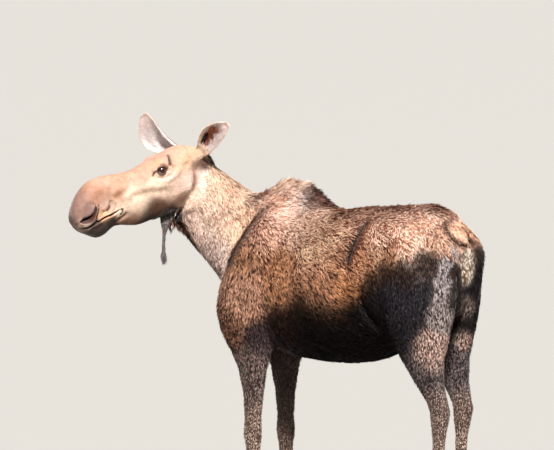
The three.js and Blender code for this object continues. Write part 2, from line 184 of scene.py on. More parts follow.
def eased(places, mesh, share, rounds):
    """The places after each point has moved, time and again, towards the middle of its neighbours."""
    edges = column(mesh.edges, "vertices", 2, int)
    both = np.concatenate([edges, edges[:, ::-1]])
    both = both[np.argsort(both[:, 0], kind="stable")]
    counts = np.bincount(both[:, 0], minlength=len(places))
    starts = np.concatenate([[0], np.cumsum(counts)[:-1]])
    beside = both[:, 1]
    moved = places.astype(np.float32)
    pull = (share / counts)[:, None].astype(np.float32)
    keep = (1.0 - share)[:, None].astype(np.float32)
    for _ in range(rounds):
        moved = moved * keep + np.add.reduceat(moved[beside], starts, axis=0) * pull
    return moved.astype(float)


def ramp(value, low, high):
    """0 up to low, 1 from high on, and smooth between them."""
    t = np.clip((value - low) / (high - low), 0.0, 1.0)
    return t * t * (3.0 - 2.0 * t)


def hill(value, middle, reach):
    """1 in the middle, and nothing from the reach on."""
    return (1.0 - np.clip(((value - middle) / reach) ** 2, 0.0, 1.0)) ** 2


# Her body's own axes, in millimetres: out to her left, back to the tail and up.
TAIL_BACK = 1044.0  # of the tail's root, from the place between the forelegs
midline = sum(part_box("tail"), Vector())[0] / 2
body_origin = np.array([midline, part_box("tail")[0][1] - TAIL_BACK / 1000, 0.0])


def on_body(places):
    """Places as millimetres to her left, back along her and up."""
    return (places - body_origin) * 1000.0


# Her head's own axes, which sit so that the eyes are where the solids have them.
HEAD_TURN = math.radians(66)
HEAD_DROOP = math.radians(21.4)
EYE_ALONG = 249.0
EYE_UP = 45.0
left_eye = sum(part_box("eye_left"), Vector()) / 2
right_eye = sum(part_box("eye_right"), Vector()) / 2
turned = Vector((math.sin(HEAD_TURN), -math.cos(HEAD_TURN), 0.0))
head_along = turned * math.cos(HEAD_DROOP) + Vector((0.0, 0.0, -math.sin(HEAD_DROOP)))
head_up = turned * math.sin(HEAD_DROOP) + Vector((0.0, 0.0, math.cos(HEAD_DROOP)))
head_axes = np.array([head_along, head_up.cross(head_along), head_up])
from_origin = (EYE_ALONG * head_axes[0] + EYE_UP * head_axes[2]) / 1000
head_origin = np.array((left_eye + right_eye) / 2) - from_origin


def on_head(places):
    """Places as millimetres along her head to the nose, out to its left and up."""
    return (places - head_origin) @ head_axes.T * 1000.0


def off_head(places):
    """The same, back into the room."""
    return places / 1000.0 @ head_axes + head_origin


# Down the bell that hangs from her throat, in the head's millimetres.
BELL_LINE = np.array([(239, -18, -137), (351, -22, -386)], float)


def bellness(places):
    """1 on the bell."""
    head = on_head(places)
    run = BELL_LINE[1] - BELL_LINE[0]
    share = (head - BELL_LINE[0]) @ run / (run @ run)
    gap = np.linalg.norm(head - BELL_LINE[0] - share[:, None] * run, axis=1)
    return ramp(gap, 80, 66) * ramp(share, 0.02, 0.12)


def headness(places):
    """1 on the head, with its bell, and 0 on the rest of her."""
    along, _, up = on_head(places).T
    skull = ramp(along + 0.57 * (up - 60), -62, -22) * ramp(up, -214, -190)
    return np.maximum(skull, bellness(places))


# What the hide is cast from: all but the ears, which are too thin and are joined on afterwards.
CAST = [name for name in FLESH if "ear" not in name] + ["eye_left", "eye_right"]
cast = with_modifier(joined_solids(CAST), "REMESH", mode="VOXEL", voxel_size=HIDE_GRAIN)
places = column(cast.vertices, "co")
left, back, up = on_body(places).T
on_the_head = headness(places)
on_the_bell = bellness(places)
on_the_tail = ramp(back, TAIL_BACK - 25, TAIL_BACK) * ramp(np.abs(left), 60, 45)
on_a_leg = ramp(up, 1050, 800)
EASING_ROUNDS = 200
share = 0.8 * (1 - 0.93 * on_the_head) * (1 - 0.93 * on_a_leg) * (1 - 0.9 * on_the_tail)
before = places
places = eased(places, cast, share * (1 - 0.8 * on_the_bell), EASING_ROUNDS)

# Easing draws her in where she is most rounded, so that amount, itself eased, is given back.
RETURN_ROUNDS = 90
share = 0.8 * (1 - 0.7 * on_the_head) * (1 - on_the_bell)
drawn_in = eased(before - places, cast, share, RETURN_ROUNDS)
places = places + drawn_in * (1 - on_the_bell)[:, None]

# How deep the coat is in millimetres, on each part of her.
BODY_COAT = 11
MANE_COAT = 19  # on top of the body's
LEG_COAT = 6
FACE_COAT = 2
THROAT_COAT = 7  # on top of the face's


def coat_depth(places):
    """How deep the coat is, in millimetres, at places on the hide."""
    _, back, up = on_body(places).T
    head = headness(places)
    body = BODY_COAT + MANE_COAT * hill(up, 1800, 190) * hill(back, 20, 330)
    depth = body * ramp(up, 700, 1150) + LEG_COAT * ramp(up, 1150, 700)
    depth = depth * (1 - 0.5 * ramp(back, 1040, 1090))
    along, _, above = on_head(places).T
    on_throat = ramp(along, 90, 20) * ramp(above, 70, 20)
    return depth * (1 - head) + (FACE_COAT + THROAT_COAT * on_throat) * head


# Soft forms under the coat. Each has its middle, as far back and as high up, how far it reaches
# that way, and how high it stands or how deep it lies.
FORMS = {
    "shoulder blade": ((-10, 1500), (95, 210), 9),
    "shoulder point": ((-205, 1215), (95, 110), 8),
    "behind the shoulder": ((190, 1330), (70, 260), -12),
    "upper arm": ((-70, 1180), (120, 130), 6),
    "ribs": ((420, 1290), (260, 300), 7),
    "flank hollow": ((640, 1470), (70, 120), -16),
    "groin": ((690, 1150), (80, 130), -14),
    "hip bone": ((772, 1592), (75, 60), 15),
    "above the hip": ((880, 1640), (100, 45), -7),
    "thigh": ((900, 1380), (190, 170), 8),
    "stifle": ((850, 1150), (85, 120), 9),
    "seat bone": ((1105, 1480), (50, 70), 8),
    "hamstring": ((1080, 1250), (36, 240), -8),
}
# Creases: the line that each follows, its width and its depth.
CREASES = {
    "front of the shoulder": ([(-12, 1700), (-82, 1572), (-190, 1400), (-235, 1250)], 22, 5),
    "front of the haunch": ([(655, 1650), (630, 1590), (610, 1530), (594, 1460), (596, 1360)], 15, 21),
    "elbow": ([(112, 1085), (110, 1020), (104, 950)], 14, 16),
    "fold of the flank": ([(640, 1350), (690, 1220), (745, 1110)], 18, 12),
    "seat": ([(1040, 1560), (1092, 1420), (1100, 1260), (1082, 1120)], 15, 9),
    "thigh muscle": ([(1010, 1500), (1046, 1380), (1040, 1220), (1010, 1090)], 22, 5),
    "shoulder blade's edge": ([(60, 1640), (95, 1500), (70, 1360), (20, 1250)], 26, 6),
}
# The same behind her, where each line runs to her left and up.
REAR_CREASES = {
    "left of the tail": ([(48, 1640), (62, 1575), (24, 1524)], 9, 15),
    "right of the tail": ([(-10, 1612), (-47, 1568), (-92, 1518)], 9, 15),
    "under the tail": ([(34, 1528), (2, 1516), (-34, 1522)], 9, 14),
    "between the seat bones": ([(-8, 1515), (-6, 1440), (0, 1340), (0, 1240)], 15, 10),
}


def curved(rows, steps):
    """More rows, on a smooth curve through the given ones."""
    rows = np.array(rows, float)
    ends = np.vstack([2 * rows[0] - rows[1], rows, 2 * rows[-1] - rows[-2]])
    t = np.linspace(0, 1, steps, endpoint=False)[:, None]
    pieces = []
    for a, b, c, d in zip(ends, ends[1:], ends[2:], ends[3:]):
        pieces.append(b + 0.5 * t * (c - a + t * (2 * a - 5 * b + 4 * c - d + t * (3 * (b - c) + d - a))))
    return np.vstack([*pieces, rows[-1:]])


def from_line(points, line):
    """How far each flat point is from a curved line, and its share of the way along the line."""
    line = curved(line, 5)
    runs = np.diff(line, axis=0)
    lengths = np.hypot(*runs.T)
    passed = np.concatenate([[0], np.cumsum(lengths)])
    nearest = np.full(len(points), np.inf)
    share = np.zeros(len(points))
    for start, run, length, before in zip(line, runs, lengths, passed):
        t = np.clip((points - start) @ run / length**2, 0, 1)
        gap = np.hypot(*(points - start - t[:, None] * run).T)
        closer = gap < nearest
        nearest[closer] = gap[closer]
        share[closer] = (before + t[closer] * length) / passed[-1]
    return nearest, share


def tapered(share, blunt=0.15):
    """1 along a line, and falling to nothing at both of its ends."""
    return ramp(share, 0, blunt) * ramp(share, 1, 1 - blunt)


def creased(strength, points, line, width, depth, bank=0.35, away=2.2, blunt=0.15):
    """How deep a crease lies at flat points, less the height of the low banks along it."""
    gap, share = from_line(points, line)
    shape = np.exp(-((gap / width) ** 2)) - bank * np.exp(-(((gap - away * width) / width) ** 2))
    return strength * depth * shape * tapered(share, blunt)


cast.vertices.foreach_set("co", places.ravel())
outward = column(cast.vertex_normals, "vector")
left, back, up = on_body(places).T
push = -coat_depth(places)
sideways = ramp(np.abs(outward[:, 0]), 0.35, 0.75) * (1 - headness(places)) * ramp(np.abs(left), 60, 90)
for (middle_back, middle_up), (reach_back, reach_up), height in FORMS.values():
    gap = ((back - middle_back) / reach_back) ** 2 + ((up - middle_up) / reach_up) ** 2
    push += sideways * height * np.exp(-gap)
for line, width, depth in CREASES.values():
    push -= creased(sideways, np.stack([back, up], 1), line, width, depth)
rearward = ramp(outward[:, 1], 0.2, 0.55) * ramp(back, 1000, 1035)
for line, width, depth in REAR_CREASES.values():
    push -= creased(rearward, np.stack([left, up], 1), line, width, depth, bank=0.3)
places = places + outward * push[:, None] / 1000
cast.vertices.foreach_set("co", places.ravel())

# Each ear is a leaf rolled into an open cup: its base, its tip and the way it opens, along, left
# of and above the head, how far its middle sways, how broad it looks and how much broader it gets
# towards the tip. Then, from the root to the tip, half its width and its cup's depth.
EARS = {
    "left": ((26, 84, 50), (-96, 229, 148), (0.55, 0.75, 0.2), 15, 1.0, -0.45),
    "right": ((72, -84, 60), (153, -149, 285), (0.74, 0.67, -0.07), 48, 1.12, 0.25),
}
EAR_SECTIONS = [
    (-0.10, 24, 27),
    (0.0, 27, 29),
    (0.08, 33, 33),
    (0.16, 39, 34),
    (0.29, 48, 31),
    (0.42, 53, 27),
    (0.54, 54, 22),
    (0.66, 52, 18),
    (0.78, 44, 14),
    (0.87, 35, 10),
    (0.94, 25, 7),
    (0.98, 14, 4.5),
    (1.0, 4, 3),
]
EAR_WALL = 5.0
FLARE_FROM = 0.4  # the share of the ear's length where it is as broad as drawn


def unit(vector):
    """The same direction, one long."""
    return vector / np.linalg.norm(vector, axis=-1, keepdims=True)


def tube(rings):
    """A closed skin over rings of equally many points."""
    count = rings.shape[1]
    points = rings.reshape(-1, 3)
    step = np.arange(count)
    faces = []
    for ring in range(len(rings) - 1):
        here, there = ring * count + step, (ring + 1) * count + step
        faces += np.stack([here, np.roll(here, -1), np.roll(there, -1), there], 1).tolist()
    faces += [step[::-1].tolist(), (len(points) - count + step).tolist()]
    return points, faces


def ear_axes(side):
    """An ear's base, the run to its tip, the way it opens, the way across, and how it is shaped."""
    base, tip, opening, sway, breadth, flare = EARS[side]
    run = np.subtract(tip, base).astype(float)
    opening = unit(np.array(opening) - unit(run) * (unit(run) @ opening))
    return np.array(base, float), run, opening, np.cross(opening, unit(run)), sway, breadth, flare


def ear_shape(side):
    """An ear as a closed mesh: rings of its outer and inner wall from the root to the tip."""
    base, run, opening, across, sway, breadth, flare = ear_axes(side)
    bow = np.linspace(0, math.pi, 28)[:, None]
    rings = []
    for share, narrow, depth in curved(EAR_SECTIONS, 5):
        half = narrow * breadth * (1 + flare * (share - FLARE_FROM))
        middle = base + run * share + across * sway * math.sin(math.pi * max(share, 0))
        wall = min(EAR_WALL, half * 0.5, depth * 0.5)
        ripple = 1 + 0.05 * np.sin(bow * 7 + share * 9)
        outside = middle - across * np.cos(bow) * half - opening * np.sin(bow) * depth
        reach = half - wall * 0.45
        sink = np.sin(bow) * (depth - wall) * ripple - 1.5
        inside = middle - across * np.cos(bow) * reach - opening * sink
        rings.append(np.vstack([outside, inside[::-1]]))
    mesh = bpy.data.meshes.new("ear")
    points, faces = tube(np.array(rings))
    mesh.from_pydata(off_head(points).tolist(), [], faces)
    shape = bmesh.new()
    shape.from_mesh(mesh)
    bmesh.ops.recalc_face_normals(shape, faces=shape.faces)
    bmesh.ops.triangulate(shape, faces=shape.faces)
    shape.to_mesh(mesh)
    shape.free()
    return mesh


def earness(places):
    """1 on the ears."""
    head = on_head(places)
    most = np.zeros(len(places))
    for side in EARS:
        base, run, _, across, sway, *_ = ear_axes(side)
        share = (head - base) @ run / (run @ run)
        swayed = across * sway * np.sin(math.pi * np.clip(share, 0, 1))[:, None]
        gap = np.linalg.norm(head - (base + share[:, None] * run + swayed), axis=1)
        most = np.maximum(most, ramp(share, 0.03, 0.15) * ramp(gap, 82, 72))
    return most


# The face is worked finer than the rest. Every line below runs along the side of the head, as
# far along and as high up, with its width and its depth; a depth below nought is a ridge.
NOSTRIL_TOP = [(715, -27), (700, -22), (680, -22), (660, -19), (643, -10), (630, 4), (621, 18)]
NOSTRIL_WING = [(722, -37), (698, -51), (672, -51), (649, -38), (633, -21), (619, -2), (617, 13)]
MOUTH = [(735, -62), (712, -66), (688, -70), (656, -62), (629, -62), (593, -58), (559, -60)]
MOUTH += [(520, -58), (496, -56)]
MOUTH_HOOK = [(500, -55), (493, -62), (497, -73), (512, -86)]
FACE_LINES = {
    "nostril wing": (NOSTRIL_WING, 9, -7.0),
    "under the wing": ([(668, -68), (648, -58), (634, -34), (618, -14), (607, 4), (604, 16)], 6, 7.0),
    "rear of the nostril lobe": ([(531, 8), (541, -12), (556, -27), (577, -36), (603, -34)], 9, 8.0),
    "above the nostril": ([(690, 6), (664, 10), (640, 22), (622, 32)], 16, 2.5),
    "mouth": (MOUTH, 4, 9.0),
    "mouth hook": (MOUTH_HOOK, 5, 7.0),
    "upper lip": ([(724, -54), (690, -62), (656, -52), (620, -50), (580, -46), (530, -48)], 9, -3.5),
    "lower lip": ([(706, -80), (660, -75), (610, -73), (560, -72), (520, -72)], 10, -5.0),
    "chin": ([(705, -100), (668, -106), (630, -112), (590, -104)], 20, -4.0),
    "jaw groove": ([(468, -84), (494, -91), (520, -100), (552, -108)], 9, 6.0),
    "muzzle corner": ([(700, 100), (724, 62), (735, 30), (737, -4), (722, -44)], 12, -4.0),
    "muzzle front": ([(736, 44), (742, 10), (738, -30)], 9, 3.0),
    "cheek stripe": ([(520, 4), (490, 9), (462, 11), (436, 6)], 14, 5.0),
    "cheek ridge": ([(470, -14), (403, 2), (340, -10), (280, -26), (225, -30)], 17, -4.5),
    "under the cheek ridge": ([(430, -32), (370, -30), (310, -44), (250, -56)], 22, 4.5),
    "tear line": ([(275, 55), (289, 43), (302, 29)], 5, 5.0),
    "behind the brow": ([(180, 106), (186, 90), (194, 74), (203, 56), (208, 40)], 7, 10.0),
    "temple": ([(121, 58), (155, 31), (182, 7), (221, -8), (262, -6)], 15, -5.0),
    "under the eye": ([(286, 20), (262, 8), (236, 4), (212, 12)], 8, 3.5),
    "jaw edge": ([(261, -150), (205, -141), (143, -126), (100, -100)], 20, 6.0),
    "cheek back": ([(120, 40), (112, -10), (122, -60), (118, -110)], 22, 5.0),
}
EYE_ASIDE = 90.0
EYE_RADIUS = 22.0
EYE_TILT = math.radians(14)  # the front corner lies higher, across the head
LID_HALF = 24.5  # half the opening's length
LID_ABOVE = 18.0
LID_BELOW = 14.5


def inside(points, outline):
    """Whether flat points lie inside a closed outline."""
    count = np.zeros(len(points), int)
    x, y = points.T
    for (x0, y0), (x1, y1) in zip(outline, np.roll(outline, -1, axis=0)):
        crossing = (y0 > y) != (y1 > y)
        with np.errstate(divide="ignore", invalid="ignore"):
            count += crossing & (x < x0 + (y - y0) * (x1 - x0) / (y1 - y0))
    return count % 2 == 1


def eye_frame(points):
    """Flat points as distances from the middle of the eye, along its opening and across it."""
    forward, upward = points[:, 0] - EYE_ALONG, points[:, 1] - EYE_UP
    along = forward * math.cos(EYE_TILT) + upward * math.sin(EYE_TILT)
    return along, upward * math.cos(EYE_TILT) - forward * math.sin(EYE_TILT)


def lid_edge(along):
    """How high the upper lid's edge and how low the lower one's stand, along the opening."""
    share = np.clip(1 - (np.asarray(along) / LID_HALF) ** 2, 0, 1)
    return LID_ABOVE * share**0.62, -LID_BELOW * share**0.72


def fineness(places):
    """How many times the faces of the hide are halved here."""
    head = on_head(places)
    along, left, _ = head.T
    flat = head[:, [0, 2]]
    side = (np.abs(left) > 22) & (along > 180) & (headness(places) > 0.5)
    eye_gap = np.hypot(*eye_frame(flat))
    near = np.full(len(places), 1e3)
    for line in (NOSTRIL_TOP, NOSTRIL_WING, MOUTH, MOUTH_HOOK):
        near = np.minimum(near, from_line(flat, line)[0])
    in_nostril = inside(flat, np.array(NOSTRIL_TOP + NOSTRIL_WING[::-1]))
    levels = np.where(side & ((eye_gap < 46) | (near < 22)), 1, 0)
    return np.where(side & ((eye_gap < 28) | (near < 4.5) | in_nostril), 2, levels)


# The parts that carry no fine forms are given larger faces, and the ears are joined on.
FACES_KEPT = 0.11
on_the_face = headness(places) * ramp(on_head(places)[:, 0], 60, 200)
keen = np.where(fineness(places) > 0, 0.05, 1 - 0.5 * on_the_face)
by_weight = {"vertex_group": "weight", "vertex_group_factor": 2.0}
hide_mesh = with_modifier(cast, "DECIMATE", keen, ratio=FACES_KEPT, **by_weight)
for side in EARS:
    ear = new_object("ear", ear_shape(side))
    hide_mesh = with_modifier(hide_mesh, "BOOLEAN", operation="UNION", solver="MANIFOLD", object=ear)
    bpy.data.objects.remove(ear)

shape = bmesh.new()
shape.from_mesh(hide_mesh)
bmesh.ops.triangulate(shape, faces=shape.faces)
for level in (1, 2):
    shape.verts.index_update()
    places = np.array([v.co for v in shape.verts])
    finer = fineness(places) >= level
    edges = [e for e in shape.edges if finer[e.verts[0].index] and finer[e.verts[1].index]]
    bmesh.ops.subdivide_edges(shape, edges=edges, cuts=1, use_grid_fill=True)
    bmesh.ops.triangulate(shape, faces=shape.faces)
hide_mesh = bpy.data.meshes.new("hide")
shape.to_mesh(hide_mesh)
shape.free()
places = column(hide_mesh.vertices, "co")
on_the_head = headness(places)
places = eased(places, hide_mesh, 0.5 * on_the_head * (1 - 0.8 * earness(places)), 6)
hide_mesh.vertices.foreach_set("co", places.ravel())
outward = column(hide_mesh.vertex_normals, "vector")

head = on_head(places)
along, left, up = head.T
flat = head[:, [0, 2]]
sideways = ramp(np.abs(left), 14, 34) * (1 - earness(places)) * ramp(along, -10, 40)
push = np.zeros(len(places))
for line, width, depth in FACE_LINES.values():
    bank = 0.3 if depth > 0 else 0.0
    push -= creased(sideways, flat, line, width, depth, bank, 2.1, 0.12)

# The nostril is a pocket under its upper edge, which runs out on the wing below.
top_gap, share = from_line(flat, NOSTRIL_TOP)
wing_gap, _ = from_line(flat, NOSTRIL_WING)
hollow = inside(flat, np.vstack([curved(NOSTRIL_TOP, 5), curved(NOSTRIL_WING, 5)[::-1]]))
pocket = np.where(hollow, (wing_gap / (wing_gap + top_gap + 0.01)) ** 1.5, 0) * sideways
pocket *= 0.5 + 0.5 * ramp(share, 0.9, 0.3)
NOSTRIL_DEPTH = 26
push -= NOSTRIL_DEPTH * pocket
places = places + outward * push[:, None] / 1000

# The lids lie on the eyeball, and what lies within their edges is drawn in behind it.
LID_REACH = EYE_RADIUS + 2.6
for side in (1, -1):
    head = on_head(places)
    x, y = eye_frame(head[:, [0, 2]])
    outer_side = (head[:, 1] * side > EYE_ASIDE - 40) & (np.hypot(x, y) < 60)
    upper, lower = lid_edge(x)
    over = np.where(y > 0, y - upper, lower - y)
    past_end = np.abs(x) - LID_HALF
    gap = np.where(past_end > 0, np.hypot(past_end, np.minimum(np.abs(y), 99)), over)
    within = outer_side & (gap < 0)
    head[within, 1] = side * (EYE_ASIDE - 6)
    reach = np.clip(1 - (np.hypot(x, y) / LID_REACH) ** 2, 0, 1)
    on_ball = EYE_ASIDE + LID_REACH * np.sqrt(reach)
    hug = np.where(outer_side & (gap >= 0), np.exp(-((np.maximum(gap, 0) / 11) ** 2)), 0)
    lifted = head[:, 1] * side
    lifted = lifted + (np.maximum(on_ball, EYE_ASIDE + 1) - lifted) * hug
    head[:, 1] = np.where(outer_side & (gap >= 0), lifted * side, head[:, 1])
    places = off_head(head)
hide_mesh.vertices.foreach_set("co", places.ravel())


# ---- the lie and the colours of the coat -------------------------------------------------------
# Hide and hair carry the same markings, and some of the places paint shade and sheen into them.
# Each named place says how far its look reaches, which way the hair lies there, how long it is,
# its colour near the skin and at the tip. Between the places the looks run into each other. The
# right side has the same places as the left one.
BODY_PLACES = {  # left of her middle, back, up; reach; lie; length; colours
    "hump crest": ((0, 30, 1800), 95, (0, 0.8, 0.5), 66, "6a3c28", "f4ccaa"),
    "hump side": ((110, 60, 1700), 105, (0.1, 0.9, 0.15), 46, "f6dac4", "fffaf4"),
    "hump rear": ((30, 205, 1735), 84, (0, 1, -0.2), 38, "140706", "6e4236"),
    "spine": ((0, 430, 1690), 100, (0, 1, -0.05), 38, "4a2a1e", "b07c64"),
    "loin": ((0, 690, 1700), 100, (0, 1, -0.05), 36, "4a2a20", "b88a72"),
    "croup": ((0, 930, 1710), 80, (0, 1, -0.1), 34, "4e2e24", "b88a74"),
    "croup side": ((110, 830, 1665), 80, (0, 0.9, -0.3), 34, "9a6450", "fde0c8"),
    "loin side": ((120, 600, 1650), 80, (0, 0.95, -0.25), 36, "7e4e3a", "f2c8ac"),
    "upper flank front": ((200, 250, 1640), 110, (0, 0.95, -0.3), 42, "875240", "fbdcc0"),
    "upper flank": ((230, 431, 1527), 135, (0, 0.9, -0.4), 42, "7a3c26", "ffdcb6"),
    "mid flank": ((265, 462, 1363), 120, (0, 0.85, -0.5), 42, "451b0e", "e2a078"),
    "rear flank": ((240, 620, 1450), 105, (0, 0.9, -0.45), 38, "5c2e1e", "e4a67c"),
    "golden low flank": ((260, 590, 1330), 70, (0, 0.85, -0.5), 38, "42190c", "c98656"),
    "front of the thigh": ((230, 735, 1345), 48, (0, 0.5, -0.9), 30, "0a0403", "2c1810"),
    "top of the thigh": ((222, 830, 1408), 50, (0, 0.4, -0.9), 30, "0e0604", "3a2116"),
    # Near black: her own dark, wet coat, with painted shade where her body turns under.
    "lower flank": ((270, 403, 1171), 120, (0, 0.8, -0.6), 42, "040202", "140a07"),
    "low rear flank": ((230, 680, 1190), 100, (0, 0.85, -0.5), 38, "040202", "120907"),
    "belly": ((150, 430, 960), 160, (0, 1, -0.1), 42, "040202", "120a08"),
    "golden flank": ((190, 790, 1575), 90, (0, 0.7, -0.7), 34, "9a5a3e", "ffe8ca"),
    "haunch top": ((170, 951, 1578), 95, (0, 0.55, -0.8), 32, "cc9676", "fff6e4"),
    "haunch": ((215, 840, 1490), 60, (0, 0.45, -0.9), 32, "582c18", "dea074"),
    "rump": ((130, 1060, 1560), 70, (0, 0.3, -1), 30, "7a4e3c", "e8be9e"),
    "thigh top": ((225, 925, 1395), 58, (0, 0.4, -0.9), 32, "0a0504", "38221a"),
    "thigh corner": ((190, 1046, 1468), 50, (0, 0.3, -1), 28, "120a0a", "3a2823"),
    "thigh": ((228, 876, 1240), 110, (0, 0.3, -1), 30, "050304", "2c252a"),
    "low thigh": ((215, 908, 1090), 100, (0, 0.25, -1), 28, "060405", "272025"),
    # Painted shade in the fold of the flank.
    "flank fold": ((215, 740, 1250), 60, (0, 0.5, -0.9), 30, "020101", "0c0706"),
    # Painted shade between the thighs.
    "between the thighs": ((20, 1040, 1150), 80, (0, 0, -1), 24, "050303", "1c1310"),
    "shoulder top": ((180, 15, 1584), 95, (0, 0.6, -0.75), 38, "814c36", "f4c8ac"),
    "shoulder": ((210, -67, 1440), 100, (0, 0.45, -0.9), 38, "34160b", "c48a66"),
    "low shoulder": ((225, -85, 1274), 100, (0, 0.35, -0.95), 36, "46190c", "d09c7e"),
    "behind the shoulder": ((240, 180, 1370), 100, (0, 0.7, -0.7), 40, "4a1e10", "cc9068"),
    # Painted shade behind the elbow.
    "behind the elbow": ((230, 200, 1110), 85, (0, 0.6, -0.7), 38, "0c0605", "3c241b"),
    "arm": ((200, -190, 1110), 80, (0, 0.15, -1), 28, "260f07", "a8745a"),
    "elbow": ((205, 12, 1038), 66, (0, 0.3, -1), 26, "0a0505", "4c3839"),
    "brisket": ((0, -300, 1200), 100, (0, 0.3, -1), 38, "2e1a13", "8e6b58"),
    "between the forelegs": ((60, -180, 1000), 110, (0, 0.4, -0.9), 34, "180e0b", "4c372e"),
    "neck top": ((110, -284, 1738), 90, (0, 0.55, -0.8), 40, "9a7058", "e6d0b4"),
    "neck": ((140, -320, 1619), 95, (0, 0.5, -0.85), 36, "8d6453", "e4d2bc"),
    "low neck": ((130, -330, 1453), 95, (0, 0.35, -0.95), 34, "8a5e4d", "ecdace"),
    "neck root": ((150, -190, 1590), 75, (0, 0.6, -0.8), 40, "93654c", "f8dcbc"),
    "throat": ((130, -430, 1560), 80, (0, 0.2, -1), 32, "c09a86", "fdf1e6"),
    "throat edge": ((70, -560, 1510), 34, (0, 0.1, -1), 34, "241510", "8a6450"),
    "low throat edge": ((70, -490, 1390), 34, (0, 0.1, -1), 30, "3a241b", "a5836e"),
    "neck crest": ((45, -200, 1750), 60, (0, 0.8, -0.5), 46, "7b5848", "dfbfa8"),
    "forearm": ((145, -80, 850), 115, (0, 0.05, -1), 17, "33241f", "8c756c"),
    "knee": ((150, -70, 580), 115, (0, 0, -1), 12, "5e4a40", "b29c8c"),
    "cannon": ((150, -70, 330), 140, (0, 0, -1), 11, "6c5648", "bda694"),
    "pastern": ((150, -100, 130), 80, (0, 0, -1), 11, "4a382e", "9c8676"),
    "gaskin": ((150, 1000, 930), 90, (0, 0.1, -1), 18, "241a1b", "70605e"),
    "hock": ((134, 1090, 720), 100, (0, 0, -1), 12, "524038", "a48c7e"),
    "shank": ((134, 1080, 420), 150, (0, 0, -1), 11, "6c5648", "bda694"),
    "hind pastern": ((134, 1040, 140), 80, (0, 0, -1), 11, "4a382e", "9c8676"),
}
# Most of these places paint light and shade that fall differently on her two sides: a sheen and its shade
# on the left thigh, shade on the far haunch, and shade under the left ear.
ONE_SIDED_PLACES = {  # the same behind her and under the left ear, where her two sides differ
    # A painted sheen runs down the back of the left thigh, and the back of the leg below it is made
    # lighter as painted light.
    "sheen top": ((78, 1120, 1495), 26, (0, 0, -1), 26, "6a5a56", "c6b6b2"),
    "top of the dark strip": ((196, 1085, 1440), 26, (0, 0.1, -1), 26, "140b09", "4a332b"),
    "upper sheen": ((158, 1138, 1440), 22, (0, 0.1, -1), 26, "3c302d", "b4a6a4"),
    "middle sheen": ((166, 1142, 1370), 24, (0, 0.1, -1), 26, "3c302d", "b4a6a4"),
    "sheen": ((166, 1143, 1290), 26, (0, 0.1, -1), 26, "403430", "beaeaa"),
    "low sheen": ((172, 1130, 1190), 40, (0, 0.1, -1), 24, "403430", "b0a09a"),
    "back of the leg": ((180, 1065, 1030), 62, (0, 0.1, -1), 20, "6b534a", "d8b8a8"),
    # Painted shade over the dark coat, beside the sheen and in the cleft by the seat.
    "beside the sheen": ((112, 1160, 1400), 24, (0, 0, -1), 22, "0c0707", "3a261f"),
    "beside the low sheen": ((112, 1160, 1280), 30, (0, 0, -1), 22, "0c0707", "36231d"),
    "left of the seat": ((58, 1118, 1360), 34, (0, 0, -1), 22, "0c0707", "2e201c"),
    "left between": ((60, 1090, 1180), 44, (0, 0, -1), 22, "060303", "1c1210"),
    "seat": ((-40, 1105, 1455), 30, (0, 0, -1), 18, "7d6450", "faf0dc"),
    "under the seat": ((-45, 1098, 1390), 26, (0, 0, -1), 18, "7a5e4a", "f6e8d0"),
    "inside of the leg": ((-66, 1085, 1220), 36, (0, 0, -1), 20, "3f2d27", "a89086"),
    "low inside": ((-66, 1075, 1050), 44, (0, 0, -1), 18, "7a5a4d", "e6c6b4"),
    # Painted shade on her far haunch, over its dark coat.
    "far seat": ((-120, 1105, 1480), 34, (0, 0, -1), 24, "080404", "20140f"),
    "far thigh": ((-150, 1095, 1350), 62, (0, 0.1, -1), 26, "040202", "140c0b"),
    "far low thigh": ((-150, 1085, 1190), 62, (0, 0.1, -1), 24, "040202", "140c0b"),
    # Painted shade under and behind the left ear.
    "nape": ((50, -412, 1864), 34, (0.2, 0.6, -0.7), 40, "110a0f", "302429"),
    "behind the ear": ((200, -370, 1872), 30, (0.2, 0.5, -0.7), 34, "24130d", "7c5646"),
    "tail": ((12, 1105, 1568), 36, (-0.25, 0.3, -1), 34, "8a563c", "f2c4a4"),
    "beside the tail": ((-78, 1085, 1590), 34, (0, 0.3, -1), 28, "82523a", "ecbc9a"),
}
